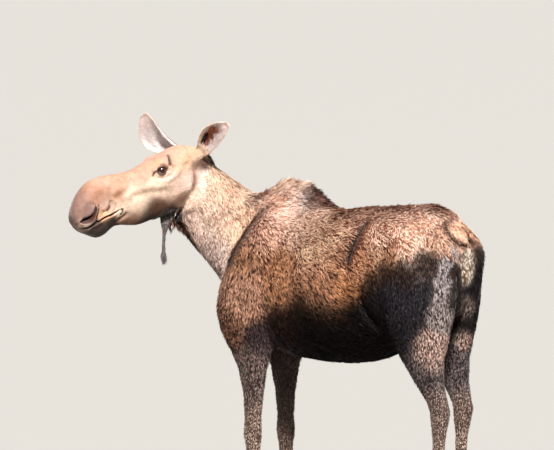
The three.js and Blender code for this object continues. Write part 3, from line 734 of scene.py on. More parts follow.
HEAD_PLACES = {  # along her head, left of its middle, up; reach; lie; length; colours
    "poll": ((60, 50, 100), 66, (-1, 0.2, 0), 15, "967057", "cab098"),
    "forehead": ((190, 50, 112), 66, (-1, 0.15, 0), 11, "96695a", "cba591"),
    "brow": ((250, 85, 95), 42, (-1, 0.1, 0), 9, "986e55", "cfae91"),
    "temple": ((120, 95, 42), 56, (-1, 0.3, -0.2), 12, "96684c", "cfae90"),
    "back of the cheek": ((105, 98, -55), 62, (-0.7, 0.1, -0.7), 17, "a88a7a", "f6e2d4"),
    "cheek": ((215, 100, -62), 62, (-0.9, 0, -0.4), 13, "a88470", "e6ccba"),
    "face": ((363, 78, 52), 62, (-1, 0, 0.1), 9, "8e6450", "c8a48c"),
    "pale ridge": ((400, 74, -2), 44, (-1, 0, 0), 9, "aa866e", "eed8c2"),
    "under the eye": ((300, 85, -8), 46, (-1, 0, -0.1), 9, "ae8a72", "ecd6c0"),
    "bridge": ((420, 40, 95), 66, (-1, 0.1, 0.1), 9, "8e5f48", "c69d84"),
    "nose top": ((530, 45, 112), 66, (-1, 0.1, 0.1), 8, "8c6452", "c8a48c"),
    "nose side": ((588, 68, 66), 56, (-1, 0, 0.1), 7, "7b5140", "ad8066"),
    "muzzle": ((678, 60, 42), 54, (-0.9, 0, 0.3), 5.5, "66493f", "9e7d6f"),
    "muzzle end": ((730, 20, 10), 46, (-0.6, 0, 0.8), 5, "5d433b", "95766a"),
    "nostril lobe": ((571, 70, 8), 32, (-1, 0, 0), 6, "826051", "c4a997"),
    "upper lip": ((596, 66, -44), 30, (-1, 0, -0.2), 6, "996a50", "d1ac8b"),
    # Painted shade in the hollow above the nostril.
    "above the nostril": ((662, 72, 4), 32, (-1, 0, 0), 5, "4b342e", "82645a"),
    "lip front": ((705, 55, -50), 26, (-1, 0, 0), 5, "76594b", "b7a093"),
    "lower lip": ((650, 50, -98), 40, (-1, 0, -0.4), 8, "261713", "614b42"),
    "chin": ((605, 30, -130), 48, (-1, 0, -0.7), 13, "160b08", "392a23"),
    "jaw side": ((430, 65, -62), 60, (-1, 0, -0.2), 9, "aa8872", "ecd4be"),
    # Painted shade along the jaw's lower edge, on this place and the next.
    "lower jaw": ((455, 50, -120), 40, (-1, 0, -0.4), 11, "3c2216", "8a5f48"),
    "jaw": ((313, 80, -142), 46, (-1, 0, -0.4), 14, "2e170c", "8e6148"),
    "back of the jaw": ((195, 85, -128), 40, (-0.8, 0, -0.8), 18, "64483a", "c29e88"),
    # Painted shade under the jaw.
    "under the jaw": ((350, 0, -165), 85, (-1, 0, -0.5), 14, "180c08", "3c271d"),
    "throat": ((95, 60, -150), 70, (-0.5, 0, -1), 26, "8f6c58", "e6cbb8"),
    "cheek stripe": ((475, 72, 8), 26, (-1, 0, 0), 8, "66422f", "a27758"),
}


# Painted shade under and behind the left ear, on that side only.
HEAD_LEFT_PLACES = {  # the same on her head's left side only
    "under the ear": ((74, 92, -2), 22, (-1, 0.2, -0.4), 16, "22120d", "6e4a3a"),
    "behind the ear": ((40, 86, -8), 22, (-1, 0.2, -0.4), 20, "1a0d09", "5e3c2e"),
}


def looks_at(table, places, strength=1.0, beyond=1e-3):
    """The weight of a table's looks at each place, and the lies, lengths and colours by weight."""
    total = np.full(len(places), 1e-9)
    blended = np.zeros((len(places), 10))
    for middle, reach, lie, length, under, tip in table.values():
        gap = ((places - middle) ** 2).sum(1) / reach**2
        weight = strength * np.exp(-1.4 * gap) + beyond / (1 + gap) ** 2
        look = [*unit(np.array(lie, float)), length, *linear(under), *linear(tip)]
        blended += weight[:, None] * np.array(look)
        total += weight
    return total, blended


def on_both_sides(table, places, axis):
    """The looks of a table that holds for both sides, at places on either."""
    sides = np.where(places[:, axis] < 0, -1.0, 1.0)
    mirrored = places.copy()
    mirrored[:, axis] *= sides
    total, blended = looks_at(table, mirrored)
    blended[:, axis] *= sides
    return total, blended


# Painted shade in the creases and slits, laid on the coat as dark lines: on her sides as far back
# and as high up, and behind to her left and up, with their width and colour.
HAUNCH_SHADE_LINE = [(655, 1650), (630, 1590), (610, 1530), (594, 1460), (594, 1390)]
SIDE_SHADE_LINES = {
    "front of the haunch": (HAUNCH_SHADE_LINE, 14, "0a0402"),
    "front of the shoulder": ([(-20, 1690), (-88, 1580), (-175, 1430), (-215, 1330)], 12, "54301f"),
    "elbow": ([(118, 1100), (112, 1030), (106, 960)], 11, "060303"),
}
REAR_SHADE_LINES = {
    "left of the tail": ([(46, 1650), (62, 1575), (24, 1524)], 12, "0a0403"),
    "right of the tail": ([(-8, 1620), (-47, 1568), (-92, 1518)], 12, "0a0403"),
    "under the tail": ([(34, 1528), (2, 1516), (-34, 1522)], 11, "0a0403"),
}

# Painted shade in the face's slits, grooves and creases, laid on as dark lines.
FACE_SHADE_LINES = {  # the line of each mark on the face, its width and its colour
    "nostril edge": (NOSTRIL_TOP, 6, "24110e"),
    "under the wing": (FACE_LINES["under the wing"][0], 6, "2b1511"),
    "rear of the lobe": ([(541, -12), (556, -27), (577, -36)], 6, "4a2a20"),
    "mouth": (MOUTH, 3.5, "1c0e0b"),
    "mouth hook": (MOUTH_HOOK, 4, "3a1f18"),
    "behind the brow": ([(182, 104), (189, 86), (196, 68), (206, 46)], 8.5, "120806"),
    "tear line": (FACE_LINES["tear line"][0], 4, "3a2018"),
    "jaw groove": (FACE_LINES["jaw groove"][0], 7, "5a382a"),
    "back of the jaw": ([(90, 14), (98, -30), (112, -84), (142, -124)], 13, "947262"),
}


def with_shade_lines(looks, shade_lines, flat, chosen, blunt=0.2):
    """The coat's looks with dark lines of painted shade laid over them, where the hair is short."""
    lie, length, colours = looks[:, :3], looks[:, 3:4], looks[:, 4:]
    for line, width, colour in shade_lines.values():
        gap, share = from_line(flat, line)
        along = (tapered(share, blunt) * chosen)[:, None]
        cover = np.exp(-((gap[:, None] / width) ** 2)) * along
        colours = colours * (1 - cover) + np.tile(linear(colour), 2) * cover
        length = length * (1 - along) + np.minimum(length, 3 + 0.7 * gap[:, None]) * along
    return np.hstack([lie, length, colours])


def coat_at(places):
    """The coat's looks at places in the room, on the body and on the head."""
    on_it = headness(places)[:, None]
    where = on_body(places)
    total, body = on_both_sides(BODY_PLACES, where, 0)
    more, one_sided = looks_at(ONE_SIDED_PLACES, where, 3.0, 0.0)
    body = (body + one_sided) / (total + more)[:, None]
    left, back, _ = where.T
    # The painted shade in the creases of her sides is fainter on her right.
    on_a_side = ramp(left, 50, 90) + 0.4 * ramp(left, -50, -90)  # fainter on the right
    body = with_shade_lines(body, SIDE_SHADE_LINES, where[:, 1:], on_a_side)
    body = with_shade_lines(body, REAR_SHADE_LINES, where[:, [0, 2]], ramp(back, 1020, 1050), 0.06)
    where = on_head(places)
    total, head = on_both_sides(HEAD_PLACES, where, 1)
    more, one_sided = looks_at(HEAD_LEFT_PLACES, where, 3.0, 0.0)
    head = (head + one_sided) / (total + more)[:, None]
    head = with_shade_lines(head, FACE_SHADE_LINES, where[:, [0, 2]], ramp(np.abs(where[:, 1]), 14, 34))
    head[:, :3] = head[:, :3] @ head_axes
    both = body * (1 - on_it) + head * on_it
    return {"lie": both[:, :3], "length": both[:, 3], "under": both[:, 4:7], "tip": both[:, 7:]}


def drift(places, size, seed):
    """A soft random number from -1 to 1 that changes over about the given size."""
    cell = np.asarray(places) / size
    corner = np.floor(cell).astype(np.int64)
    t = cell - corner
    t = t * t * (3 - 2 * t)
    value = np.zeros(len(cell))
    for i in range(8):
        step = np.array([i & 1, i >> 1 & 1, i >> 2 & 1])
        x, y, z = (corner + step).T
        mixed = (x * 73856093 ^ y * 19349663 ^ z * 83492791 ^ seed * 2654435761) & 0xFFFFFFFF
        mixed = ((mixed ^ mixed >> 15) * 2246822519) & 0xFFFFFFFF
        mixed = ((mixed ^ mixed >> 13) * 3266489917) & 0xFFFFFFFF
        weight = np.prod(np.where(step, t, 1 - t), axis=1)
        value += weight * ((mixed >> 8 & 0xFFFF) / 32767.5 - 1)
    return value


# ---- the hide's colours ------------------------------------------------------------------------
# On the body the hide is painted half as light as the hair's roots, as the shade deep between
# the hairs. On the face the hair is so short that the hide carries its colour, with bare dark skin
# in the nostrils, on the lips and round the eyes, and painted shade deep in the nostrils.
EYE_RIM_DARK = "5a3a30"
NOSTRIL_SKIN = "4a2a20"


def bare_skin(head, colours):
    """The colours with the dark skin round the eyes and in the nostrils laid over them."""
    flat = head[:, [0, 2]]
    sideways = ramp(np.abs(head[:, 1]), 14, 34)
    cover = (np.where(hollow, ramp(wing_gap, 0.5, 5), 0) * sideways)[:, None]
    colours = colours * (1 - cover) + np.array(linear(NOSTRIL_SKIN)) * cover
    x, y = eye_frame(flat)
    upper, lower = lid_edge(x)
    over = np.maximum(np.where(y > 0, y - upper, lower - y), np.abs(x) - LID_HALF)
    cover = (ramp(over, 7.5, 3.5) * sideways * ramp(np.hypot(x, y), 60, 50))[:, None]
    return colours * (1 - cover) + np.array(linear(EYE_RIM_DARK)) * cover


places = column(hide_mesh.vertices, "co")
coat = coat_at(places)
head = on_head(places)
on_the_head = headness(places)[:, None]
in_ear = earness(places)[:, None]
# Painted shade on the body's hide: half as light as the hair's roots.
under_hair_in_painted_shade = coat["under"] * 0.5
in_short_hair = coat["under"] * 0.42 + coat["tip"] * 0.46
colours = under_hair_in_painted_shade * (1 - on_the_head) + in_short_hair * on_the_head
colours = np.where(on_the_head > 0.5, bare_skin(head, colours), colours)
# Painted shade deep in the nostril's pocket, darker where the pocket is deeper.
nostril_painted_shade = np.clip(pocket * 1.7, 0, 1)[:, None]
colours = colours * (1 - 0.9 * nostril_painted_shade) + nostril_painted_shade * np.array(linear("3a1d18")) * 0.6
EAR_SKIN = np.array(linear("f0dcd4"))
colours = colours * (1 - in_ear) + EAR_SKIN * in_ear


def write_markings(mesh, colours):
    """Give the points of a mesh the colours that its material reads."""
    field = mesh.color_attributes.new("markings", "FLOAT_COLOR", "POINT")
    rows = np.hstack([colours, np.ones((len(colours), 1))])
    field.data.foreach_set("color", rows.astype(np.float32).ravel())


write_markings(hide_mesh, colours)
hide_mesh.shade_smooth()


def node(tree, kind, **inputs):
    """A new node with its inputs set, by number or by name, from values or from other outputs."""
    made = tree.nodes.new(kind)
    for key, value in inputs.items():
        socket = made.inputs[int(key[1:]) if key[1:].isdigit() else key.replace("_", " ")]
        if isinstance(value, bpy.types.NodeSocket):
            tree.links.new(value, socket)
        else:
            socket.default_value = value
    return made


def scaled_markings(tree, paint, factor):
    """Colour the paint with the mesh's markings, lighter and darker by the factor."""
    painted = tree.nodes.new("ShaderNodeAttribute")
    painted.attribute_name = "markings"
    shade = node(tree, "ShaderNodeVectorMath", _0=painted.outputs["Color"])
    shade.operation = "SCALE"
    tree.links.new(factor, shade.inputs["Scale"])
    tree.links.new(shade.outputs[0], paint.inputs["Base Color"])


def roughened(tree, paint, strength, distance, height):
    """Give the paint a fine relief."""
    bump = node(tree, "ShaderNodeBump", Strength=strength, Distance=distance, Height=height)
    tree.links.new(bump.outputs["Normal"], paint.inputs["Normal"])


hide_paint, paint = new_paint("hide", 0.6)
tree = hide_paint.node_tree
where = tree.nodes.new("ShaderNodeTexCoord").outputs["Object"]
to_head = Vector(head_along).to_track_quat("X", "Z").to_euler()
turn = node(tree, "ShaderNodeMapping", Vector=where)
turn.vector_type = "TEXTURE"
turn.inputs["Rotation"].default_value = to_head
turn.inputs["Scale"].default_value = (0.012, 0.0016, 0.0016)
along_head = turn.outputs["Vector"]
hairs = node(tree, "ShaderNodeTexNoise", Vector=along_head, Scale=1.0, Detail=3.0, Roughness=0.6)
specks = node(tree, "ShaderNodeTexNoise", Vector=where, Scale=420.0, Detail=2.0)
mottle = node(tree, "ShaderNodeTexNoise", Vector=where, Scale=45.0, Detail=4.0)
streaks = node(tree, "ShaderNodeMapRange", Value=hairs.outputs["Fac"], _1=0.35, _2=0.65, _3=0.78, _4=1.16)
patches = node(tree, "ShaderNodeMapRange", Value=mottle.outputs["Fac"], _1=0.3, _2=0.7, _3=0.8, _4=1.14)
both = node(tree, "ShaderNodeMath", _0=streaks.outputs[0], _1=patches.outputs[0])
both.operation = "MULTIPLY"
scaled_markings(tree, paint, both.outputs[0])
grain = node(tree, "ShaderNodeMath", _0=hairs.outputs["Fac"], _1=specks.outputs["Fac"])
roughened(tree, paint, 0.35, 0.002, grain.outputs[0])
paint.inputs["Specular IOR Level"].default_value = 0.35
paint.inputs["Sheen Weight"].default_value = 0.25
paint.inputs["Sheen Roughness"].default_value = 0.4

hide = new_object("hide", hide_mesh)
hide_mesh.materials.clear()
hide_mesh.materials.append(hide_paint)
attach(hide, "root")
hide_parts(*FLESH)


# ---- the eyes ----------------------------------------------------------------------------------
# Large dark brown balls set in the sides of the head, each with a long level pupil and a wet
# surface. A dark rim edges both lids, and short stiff lashes stand on the upper one.
BALL_RADIUS = 21.6
BULGE = 1.1  # how far the clear front stands out
BULGE_REACH = 0.8  # how far round from the line of sight, as an angle
PUPIL_LONG = 0.36
PUPIL_HIGH = 0.19
IRIS = ("120705", "3a1c12", "080302")  # at the pupil, in the middle, at the edge
GAZE = unit(np.array([0.30, 1.0, 0.08]))

eye_paint, paint = new_paint("eye", 0.08)
tree = eye_paint.node_tree
where = tree.nodes.new("ShaderNodeTexCoord").outputs["Object"]
fibres = node(tree, "ShaderNodeTexNoise", Vector=where, Scale=900.0, Detail=2.0)
glints = node(tree, "ShaderNodeMapRange", Value=fibres.outputs["Fac"], _1=0.3, _2=0.7, _3=0.75, _4=1.3)
scaled_markings(tree, paint, glints.outputs[0])
paint.inputs["Specular IOR Level"].default_value = 0.1
paint.inputs["Coat Weight"].default_value = 1.0
paint.inputs["Coat Roughness"].default_value = 0.2
paint.inputs["Coat IOR"].default_value = 1.6

lid_paint, paint = new_paint("lid_rim", 0.32)
tree = lid_paint.node_tree
where = tree.nodes.new("ShaderNodeTexCoord").outputs["Object"]
creases = node(tree, "ShaderNodeTexNoise", Vector=where, Scale=500.0, Detail=3.0)
ramped = tree.nodes.new("ShaderNodeValToRGB")
ramped.color_ramp.elements[0].color = (*linear("2c1a15"), 1.0)
ramped.color_ramp.elements[1].color = (*linear("86655a"), 1.0)
tree.links.new(creases.outputs["Fac"], ramped.inputs["Fac"])
tree.links.new(ramped.outputs["Color"], paint.inputs["Base Color"])
roughened(tree, paint, 0.4, 0.0006, creases.outputs["Fac"])


def new_piece(name, points, faces, material, colours=None):
    """A smooth piece from points in the head's millimetres."""
    mesh = bpy.data.meshes.new(name)
    mesh.from_pydata(off_head(np.asarray(points)).tolist(), [], faces)
    mesh.shade_smooth()
    if colours is not None:
        write_markings(mesh, colours)
    mesh.materials.append(material)
    piece = new_object(name, mesh)
    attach(piece, "root")
    return piece


def eyeball(side):
    """Rings round the line of sight, close together over the iris, with a low bulge in front."""
    gaze = GAZE * (1, side, 1)
    level = unit(np.cross(np.array([0, 0, 1.0]), gaze))
    level = unit(level * math.cos(EYE_TILT) + np.array([0, 0, 1.0]) * math.sin(EYE_TILT) * side)
    upright = np.cross(gaze, level)
    angles = np.concatenate([np.linspace(0.5, 62, 40), np.linspace(68, 179, 22)]) * math.pi / 180
    sectors = 64
    around = np.linspace(0, 2 * math.pi, sectors, endpoint=False)[:, None]
    rings, colours = [], []
    for angle in angles:
        radius = BALL_RADIUS + BULGE * max(0, 1 - (angle / BULGE_REACH) ** 2)
        flat = level * np.cos(around) + upright * np.sin(around)
        rings.append(gaze * math.cos(angle) * radius + flat * math.sin(angle) * radius)
        x, y = math.sin(angle) * np.cos(around[:, 0]), math.sin(angle) * np.sin(around[:, 0])
        pupil = ramp((x / PUPIL_LONG) ** 2 + (y / PUPIL_HIGH) ** 2, 1.15, 0.85)[:, None]
        edge = ramp(np.full(sectors, angle), 0.72, 0.92)[:, None]
        middle, bright, rim = (np.array(linear(tone)) for tone in IRIS)
        share = hill(angle, 0.5, 0.5)
        tone = (middle * (1 - share) + bright * share) * (1 - edge) + rim * edge
        colours.append(tone * (1 - pupil) + pupil * 0.002)
    points, faces = tube(np.array(rings))
    return points + (EYE_ALONG, side * EYE_ASIDE, EYE_UP), faces, np.vstack(colours)


def lid_line(count=72):
    """Round the opening between the lids, as distances along and across it."""
    along = LID_HALF * np.cos(np.linspace(0, 2 * math.pi, count, endpoint=False))
    upper, lower = lid_edge(along)
    return along, np.where(np.arange(count) < count / 2, upper, lower)


def on_lids(along, across, side, stand):
    """Places on the eyeball's front, for distances along and across the opening."""
    forward = along * math.cos(EYE_TILT) - across * math.sin(EYE_TILT)
    upward = along * math.sin(EYE_TILT) + across * math.cos(EYE_TILT)
    reach = EYE_RADIUS + stand
    aside = np.sqrt(np.maximum(reach**2 - along**2 - across**2, 9.0))
    return np.stack([EYE_ALONG + forward, side * (EYE_ASIDE + aside), EYE_UP + upward], 1)


LID_THICK = 1.9
RIM_STAND = 0.9  # how far the rim's middle lies out from the ball
RIM_SIDES = 10
LASHES = 70
LASH_STAND = 1.6
LASH_HALF = 0.35  # half a lash's width at its root
for side, name in ((1, "left"), (-1, "right")):
    points, faces, colours = eyeball(side)
    ball = new_piece(f"eyeball_{name}", points, faces, eye_paint, colours)
    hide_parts(f"eye_{name}")
    along, across = lid_line()
    line = on_lids(along, across, side, RIM_STAND)
    forward = unit(np.roll(line, -1, 0) - np.roll(line, 1, 0))
    away = unit(line - (EYE_ALONG, side * EYE_ASIDE, EYE_UP))
    third = np.cross(forward, away)
    turns = np.linspace(0, 2 * math.pi, RIM_SIDES, endpoint=False)
    rings = [line + (away * math.cos(t) * 1.15 + third * math.sin(t)) * LID_THICK for t in turns]
    rings = np.stack(rings, 1)
    faces = []
    for ring in range(len(line)):
        here, there = ring * RIM_SIDES, (ring + 1) % len(line) * RIM_SIDES
        for k in range(RIM_SIDES):
            beside = (k + 1) % RIM_SIDES
            faces.append([here + k, here + beside, there + beside, there + k])
    new_piece(f"lid_rim_{name}", rings.reshape(-1, 3), faces, lid_paint)

    where_on = np.random.default_rng(5).uniform(-0.8, 0.92, LASHES) * LID_HALF
    upper, _ = lid_edge(where_on)
    root = on_lids(where_on, upper, side, LASH_STAND)
    out = unit(root - (EYE_ALONG, side * EYE_ASIDE, EYE_UP - 6))
    lash_points, lash_faces = [], []
    for i in range(LASHES):
        long = 9 + 5 * abs(math.sin(i * 7.3))
        droop = np.array([math.sin(i * 3.1) * 0.25 + where_on[i] / 60, 0, -0.25])
        start = len(lash_points)
        for t in (0, 0.5):
            for hand in (-LASH_HALF, LASH_HALF):
                aside = np.array([hand * (1 - t), 0, 0])
                lash_points.append(root[i] + out[i] * long * t + droop * long * t * t + aside)
        lash_points.append(root[i] + out[i] * long * 0.92 + droop * long)
        lash_faces += [[start, start + 1, start + 3, start + 2], [start + 2, start + 3, start + 4]]
    new_piece(f"lashes_{name}", lash_points, lash_faces, lid_paint)


# ---- the hooves --------------------------------------------------------------------------------
# Two long black toes of horn on each foot and two dewclaws behind them. The horn grew in rings,
# is worn paler along the ground, and stands flat on its soles.
horn_paint, paint = new_paint("horn", 0.42)
tree = horn_paint.node_tree
where = tree.nodes.new("ShaderNodeTexCoord").outputs["Object"]
split = node(tree, "ShaderNodeSeparateXYZ", Vector=where)
rings = node(tree, "ShaderNodeTexWave", Vector=where, Scale=38.0, Distortion=2.5, Detail=2.0)
rings.bands_direction = "Z"
scuffs = node(tree, "ShaderNodeTexNoise", Vector=where, Scale=90.0, Detail=5.0)
worn = node(tree, "ShaderNodeMapRange", Value=split.outputs["Z"], _1=0.0, _2=0.035, _3=0.75, _4=0.1)
mixed = node(tree, "ShaderNodeMath", _0=worn.outputs[0], _1=scuffs.outputs["Fac"])
mixed.operation = "MULTIPLY"
horn = node(tree, "ShaderNodeMix")
horn.data_type = "RGBA"
horn.inputs["A"].default_value = (*linear("241a17"), 1.0)
horn.inputs["B"].default_value = (*linear("8f7a68"), 1.0)
tree.links.new(mixed.outputs[0], horn.inputs["Factor"])
tree.links.new(horn.outputs["Result"], paint.inputs["Base Color"])
height = node(tree, "ShaderNodeMath", _0=rings.outputs["Fac"], _1=scuffs.outputs["Fac"])
roughened(tree, paint, 0.5, 0.001, height.outputs[0])

HORN_GRAIN = 0.0022  # the size of the faces that the horn is cast in
HORN_FACES_KEPT = 0.35
for leg in ("foreleg_left", "foreleg_right", "hindleg_left", "hindleg_right"):
    toes = sorted(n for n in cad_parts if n.startswith(leg) and ("toe" in n or "dew" in n))
    mesh = with_modifier(joined_solids(toes), "REMESH", mode="VOXEL", voxel_size=HORN_GRAIN)
    places = column(mesh.vertices, "co")
    lowest = places[:, 2].min()
    sole = places[:, 2] < lowest + HORN_GRAIN
    places = eased(places, mesh, np.full(len(places), 0.5), 14)
    places[sole, 2] = 0.0
    places[:, 2] = np.maximum(places[:, 2], 0.0)
    mesh.vertices.foreach_set("co", places.ravel())
    mesh = with_modifier(mesh, "DECIMATE", ratio=HORN_FACES_KEPT)
    mesh.shade_smooth()
    mesh.materials.clear()
    mesh.materials.append(horn_paint)
    hooves = new_object(f"hooves_{leg}", mesh)
    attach(hooves, "root")
    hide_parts(*toes)


# ---- the coat of the body ----------------------------------------------------------------------
# Coarse summer hair, dark at the skin and tan at the tips. It lies back and down along her in
# overlapping locks, and the thin pointed tufts of a lock draw together at their tips. Each tuft is
# rooted a little way inside the hide.
ROOT_DEPTH = 2.0
PATCH = 0.003  # how wide the place of one tuft is on the coat's map

hide_places = column(hide_mesh.vertices, "co")
hide_outward = column(hide_mesh.vertex_normals, "vector")
hide_mesh.calc_loop_triangles()
hide_faces = column(hide_mesh.loop_triangles, "vertices", 3, int)
hide_areas = column(hide_mesh.loop_triangles, "area", 1)
hide_middles = hide_places[hide_faces].mean(1)
hide_tree = BVHTree.FromPolygons(hide_places.tolist(), hide_faces.tolist())
luck = np.random.default_rng(11)


def rooted(share, count):
    """Places spread evenly over the hide's faces by their area and share, and the way out there."""
    passed = np.cumsum(hide_areas * share)
    chosen = np.searchsorted(passed, (np.arange(count) + luck.random(count)) * passed[-1] / count)
    face = hide_faces[np.minimum(chosen, len(hide_faces) - 1)]
    a, b = luck.random((2, count, 1))
    folded = a + b > 1
    a, b = np.where(folded, 1 - a, a), np.where(folded, 1 - b, b)
    shares = np.stack([1 - a - b, a, b], 1)
    return (hide_places[face] * shares).sum(1), unit((hide_outward[face] * shares).sum(1))


MOST_RAISED = 14  # how far, in millimetres, the end of a tuft is lifted at most


def too_low(ends, least):
    """How far each end lies below its least height over the hide, in millimetres."""
    nearest = map(hide_tree.find_nearest, ends.tolist())
    found = np.array([(*place, *normal) for place, normal, *_ in nearest])
    height = ((ends - found[:, :3]) * found[:, 3:]).sum(1) * 1000
    return np.clip(least - height, 0, MOST_RAISED)


def tufted(name, slot, roots, outward, lie, length, width, rise, under, tip, spot, joints=2, gather=0.0):
    """A piece of coat: one pointed blade for each root. Lengths are in millimetres."""
    count = len(roots)
    lie = unit(lie - outward * (lie * outward).sum(1)[:, None])
    across = np.cross(lie, outward)
    roll = luck.normal(0, 0.45, (count, 1))
    across = across * np.cos(roll) + outward * np.sin(roll)
    sway = luck.normal(0, 0.1, (count, 1))
    ends = roots + (lie * length[:, None] + outward * rise[:, None]) / 1000
    rise = rise + too_low(ends, np.minimum(rise * 0.6, 4.0))
    points, shades, spots = [], [], []
    for joint in range(joints + 1):
        t = joint / joints
        lift = rise[:, None] * (1 - (1 - t) ** 1.6) - ROOT_DEPTH * (1 - t)
        middle = roots + (lie * length[:, None] * t + outward * lift) / 1000
        middle += (across * (sway * length[:, None] * t**2) + gather * t) / 1000
        shade = under + (tip - under) * t**0.85
        half = width[:, None] * (0.42 if joint == 0 else 0.5 * (1 - t**3)) / 1000
        spread = PATCH / 2 * (1 - t)
        for hand in (-1, 1) if joint < joints else (0,):
            points.append(middle + across * half * hand)
            shades.append(shade)
            spots.append(spot + np.array([spread * hand, PATCH * (t - 0.5)]))
    per = 2 * joints + 1
    points = np.stack(points, 1).reshape(-1, 3)
    shades = np.stack(shades, 1).reshape(-1, 3)
    spots = np.stack(spots, 1).reshape(-1, 2)
    faces = [[2 * j, 2 * j + 1, 2 * j + 3, 2 * j, 2 * j + 3, 2 * j + 2] for j in range(joints - 1)]
    faces = np.array([*sum(faces, []), per - 3, per - 2, per - 1])
    corners = (np.arange(count)[:, None] * per + faces).ravel()
    mesh = bpy.data.meshes.new(name)
    mesh.vertices.add(len(points))
    mesh.vertices.foreach_set("co", points.astype(np.float32).ravel())
    mesh.loops.add(len(corners))
    mesh.loops.foreach_set("vertex_index", corners.astype(np.int32))
    mesh.polygons.add(len(corners) // 3)
    mesh.polygons.foreach_set("loop_start", np.arange(0, len(corners), 3, dtype=np.int32))
    mesh.update(calc_edges=True)
    mesh.shade_smooth()
    write_markings(mesh, shades)
    mapped = mesh.uv_layers.new(name="OFBake")
    mapped.data.foreach_set("uv", spots[corners].astype(np.float32).ravel())
    mesh.materials.append(hair_paint)
    piece = new_object(name, mesh)
    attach(piece, "root")


hair_paint, paint = new_paint("hair", 0.5)
tree = hair_paint.node_tree
where = tree.nodes.new("ShaderNodeTexCoord").outputs["Object"]
wisps = node(tree, "ShaderNodeTexNoise", Vector=where, Scale=160.0, Detail=2.0)
streaks = node(tree, "ShaderNodeMapRange", Value=wisps.outputs["Fac"], _1=0.3, _2=0.7, _3=0.85, _4=1.15)
scaled_markings(tree, paint, streaks.outputs[0])
paint.inputs["Specular IOR Level"].default_value = 0.14

ROOT_WARMTH = (1.1, 0.8, 0.66)  # the hair is redder near the skin than at its tip


def hair_colours(roots, coat, lock, contrast, pale):
    """The two colours of each tuft: every lock has its own tone, and so has every tuft in it."""
    clump = drift(roots, 0.03, 3) * 0.3 + drift(roots, 0.07, 4) * 0.3 + drift(roots, 0.16, 5) * 0.25
    tone = clump[lock] + luck.normal(0, 0.55, len(roots))[lock] + luck.normal(0, 0.22, len(lock))
    light = np.clip(0.7 + 0.26 * pale + 0.56 * tone * contrast, 0, 1)[:, None]
    root = coat["under"][lock] ** (1 + 0.12 * contrast) * np.array(ROOT_WARMTH) ** contrast
    tip = root * (1 - light) + coat["tip"][lock] ** (1 - 0.18 * contrast) * light
    return root * (0.5 + 0.5 * light) * (1 - pale) + tip * pale, tip


# Which part of the coat a place belongs to.
left, back, up = on_body(hide_middles).T
in_ears = earness(hide_middles)
in_bell = bellness(hide_middles) * (1 - in_ears)
in_head = headness(hide_middles) * (1 - in_ears) * (1 - in_bell)
on_body_coat = 1 - np.maximum(np.maximum(in_ears, in_bell), in_head)
in_legs = ramp(up, 900, 800) * on_body_coat
is_left = (left > 0) * 1.0
NECK_LINE = (-60, 1790), (-330, 1150)  # the neck lies in front of it


def neckness(places):
    """1 in front of the line where the neck begins."""
    _, back, up = on_body(places).T
    (top_back, top_up), (low_back, low_up) = NECK_LINE
    gap = (top_back - low_back) * (up - low_up) - (top_up - low_up) * (back - low_back)
    return ramp(gap / math.hypot(top_back - low_back, top_up - low_up), -15, 15)


in_neck = neckness(hide_middles) * on_body_coat * (1 - in_legs)
on_tail = ramp(np.abs(left), 52, 40) * ramp(back, 1040, 1075) * ramp(up, 1470, 1500) * on_body_coat
on_trunk = on_body_coat * (1 - in_neck) * (1 - in_legs) * (1 - 0.7 * on_tail)
in_front = ramp(back, 470, 430)  # of the line where the trunk's coat is parted into pieces


MAP_EDGE = 0.02  # left free round each map


def mapped_to(turn, run):
    """Places on a map, from the share of the way round and the share of the way along."""
    return MAP_EDGE + (1 - 2 * MAP_EDGE) * np.stack([turn, np.clip(run, 0, 1)], 1)


def body_map(places):
    """The trunk's skin rolled out: round it, and back along it."""
    left, back, up = on_body(places).T
    turn = np.arctan2(np.abs(left), up - 1330) / math.pi
    return mapped_to(turn, (back + 420) / 1640)


def neck_map(places):
    """The neck's skin rolled out: round its slanting axis, and down along it."""
    left, back, up = (on_body(places) - (60, -330, 1560)).T
    turn = np.arctan2(left, -back * 0.88 - up * 0.2) / (2 * math.pi) + 0.5
    return mapped_to(turn, (up + 480) / 860)


def leg_map(places):
    """The four legs' skins rolled out side by side."""
    left, back, up = on_body(places).T
    fore = back < 420
    # The right legs stand farther forward than the left ones.
    middle_back = np.where(fore, -80, 1060) + np.where(left < 0, np.where(fore, -60, -88), 0)
    turn = np.arctan2(np.abs(left) - np.where(fore, 150, 135), back - middle_back) / (2 * math.pi) + 0.5
    which = fore * 2 + (left > 0)
    strip = (which + 2 * MAP_EDGE + (1 - 4 * MAP_EDGE) * turn) / 4
    return np.stack([strip, MAP_EDGE + (1 - 2 * MAP_EDGE) * np.clip(up / 930, 0, 1)], 1)


def head_map(places):
    """The head's skin rolled out: round it, and along it."""
    along, left, up = on_head(places).T
    turn = np.arctan2(left, -(up + 30)) / (2 * math.pi) + 0.5
    return mapped_to(turn, (along + 70) / 830)


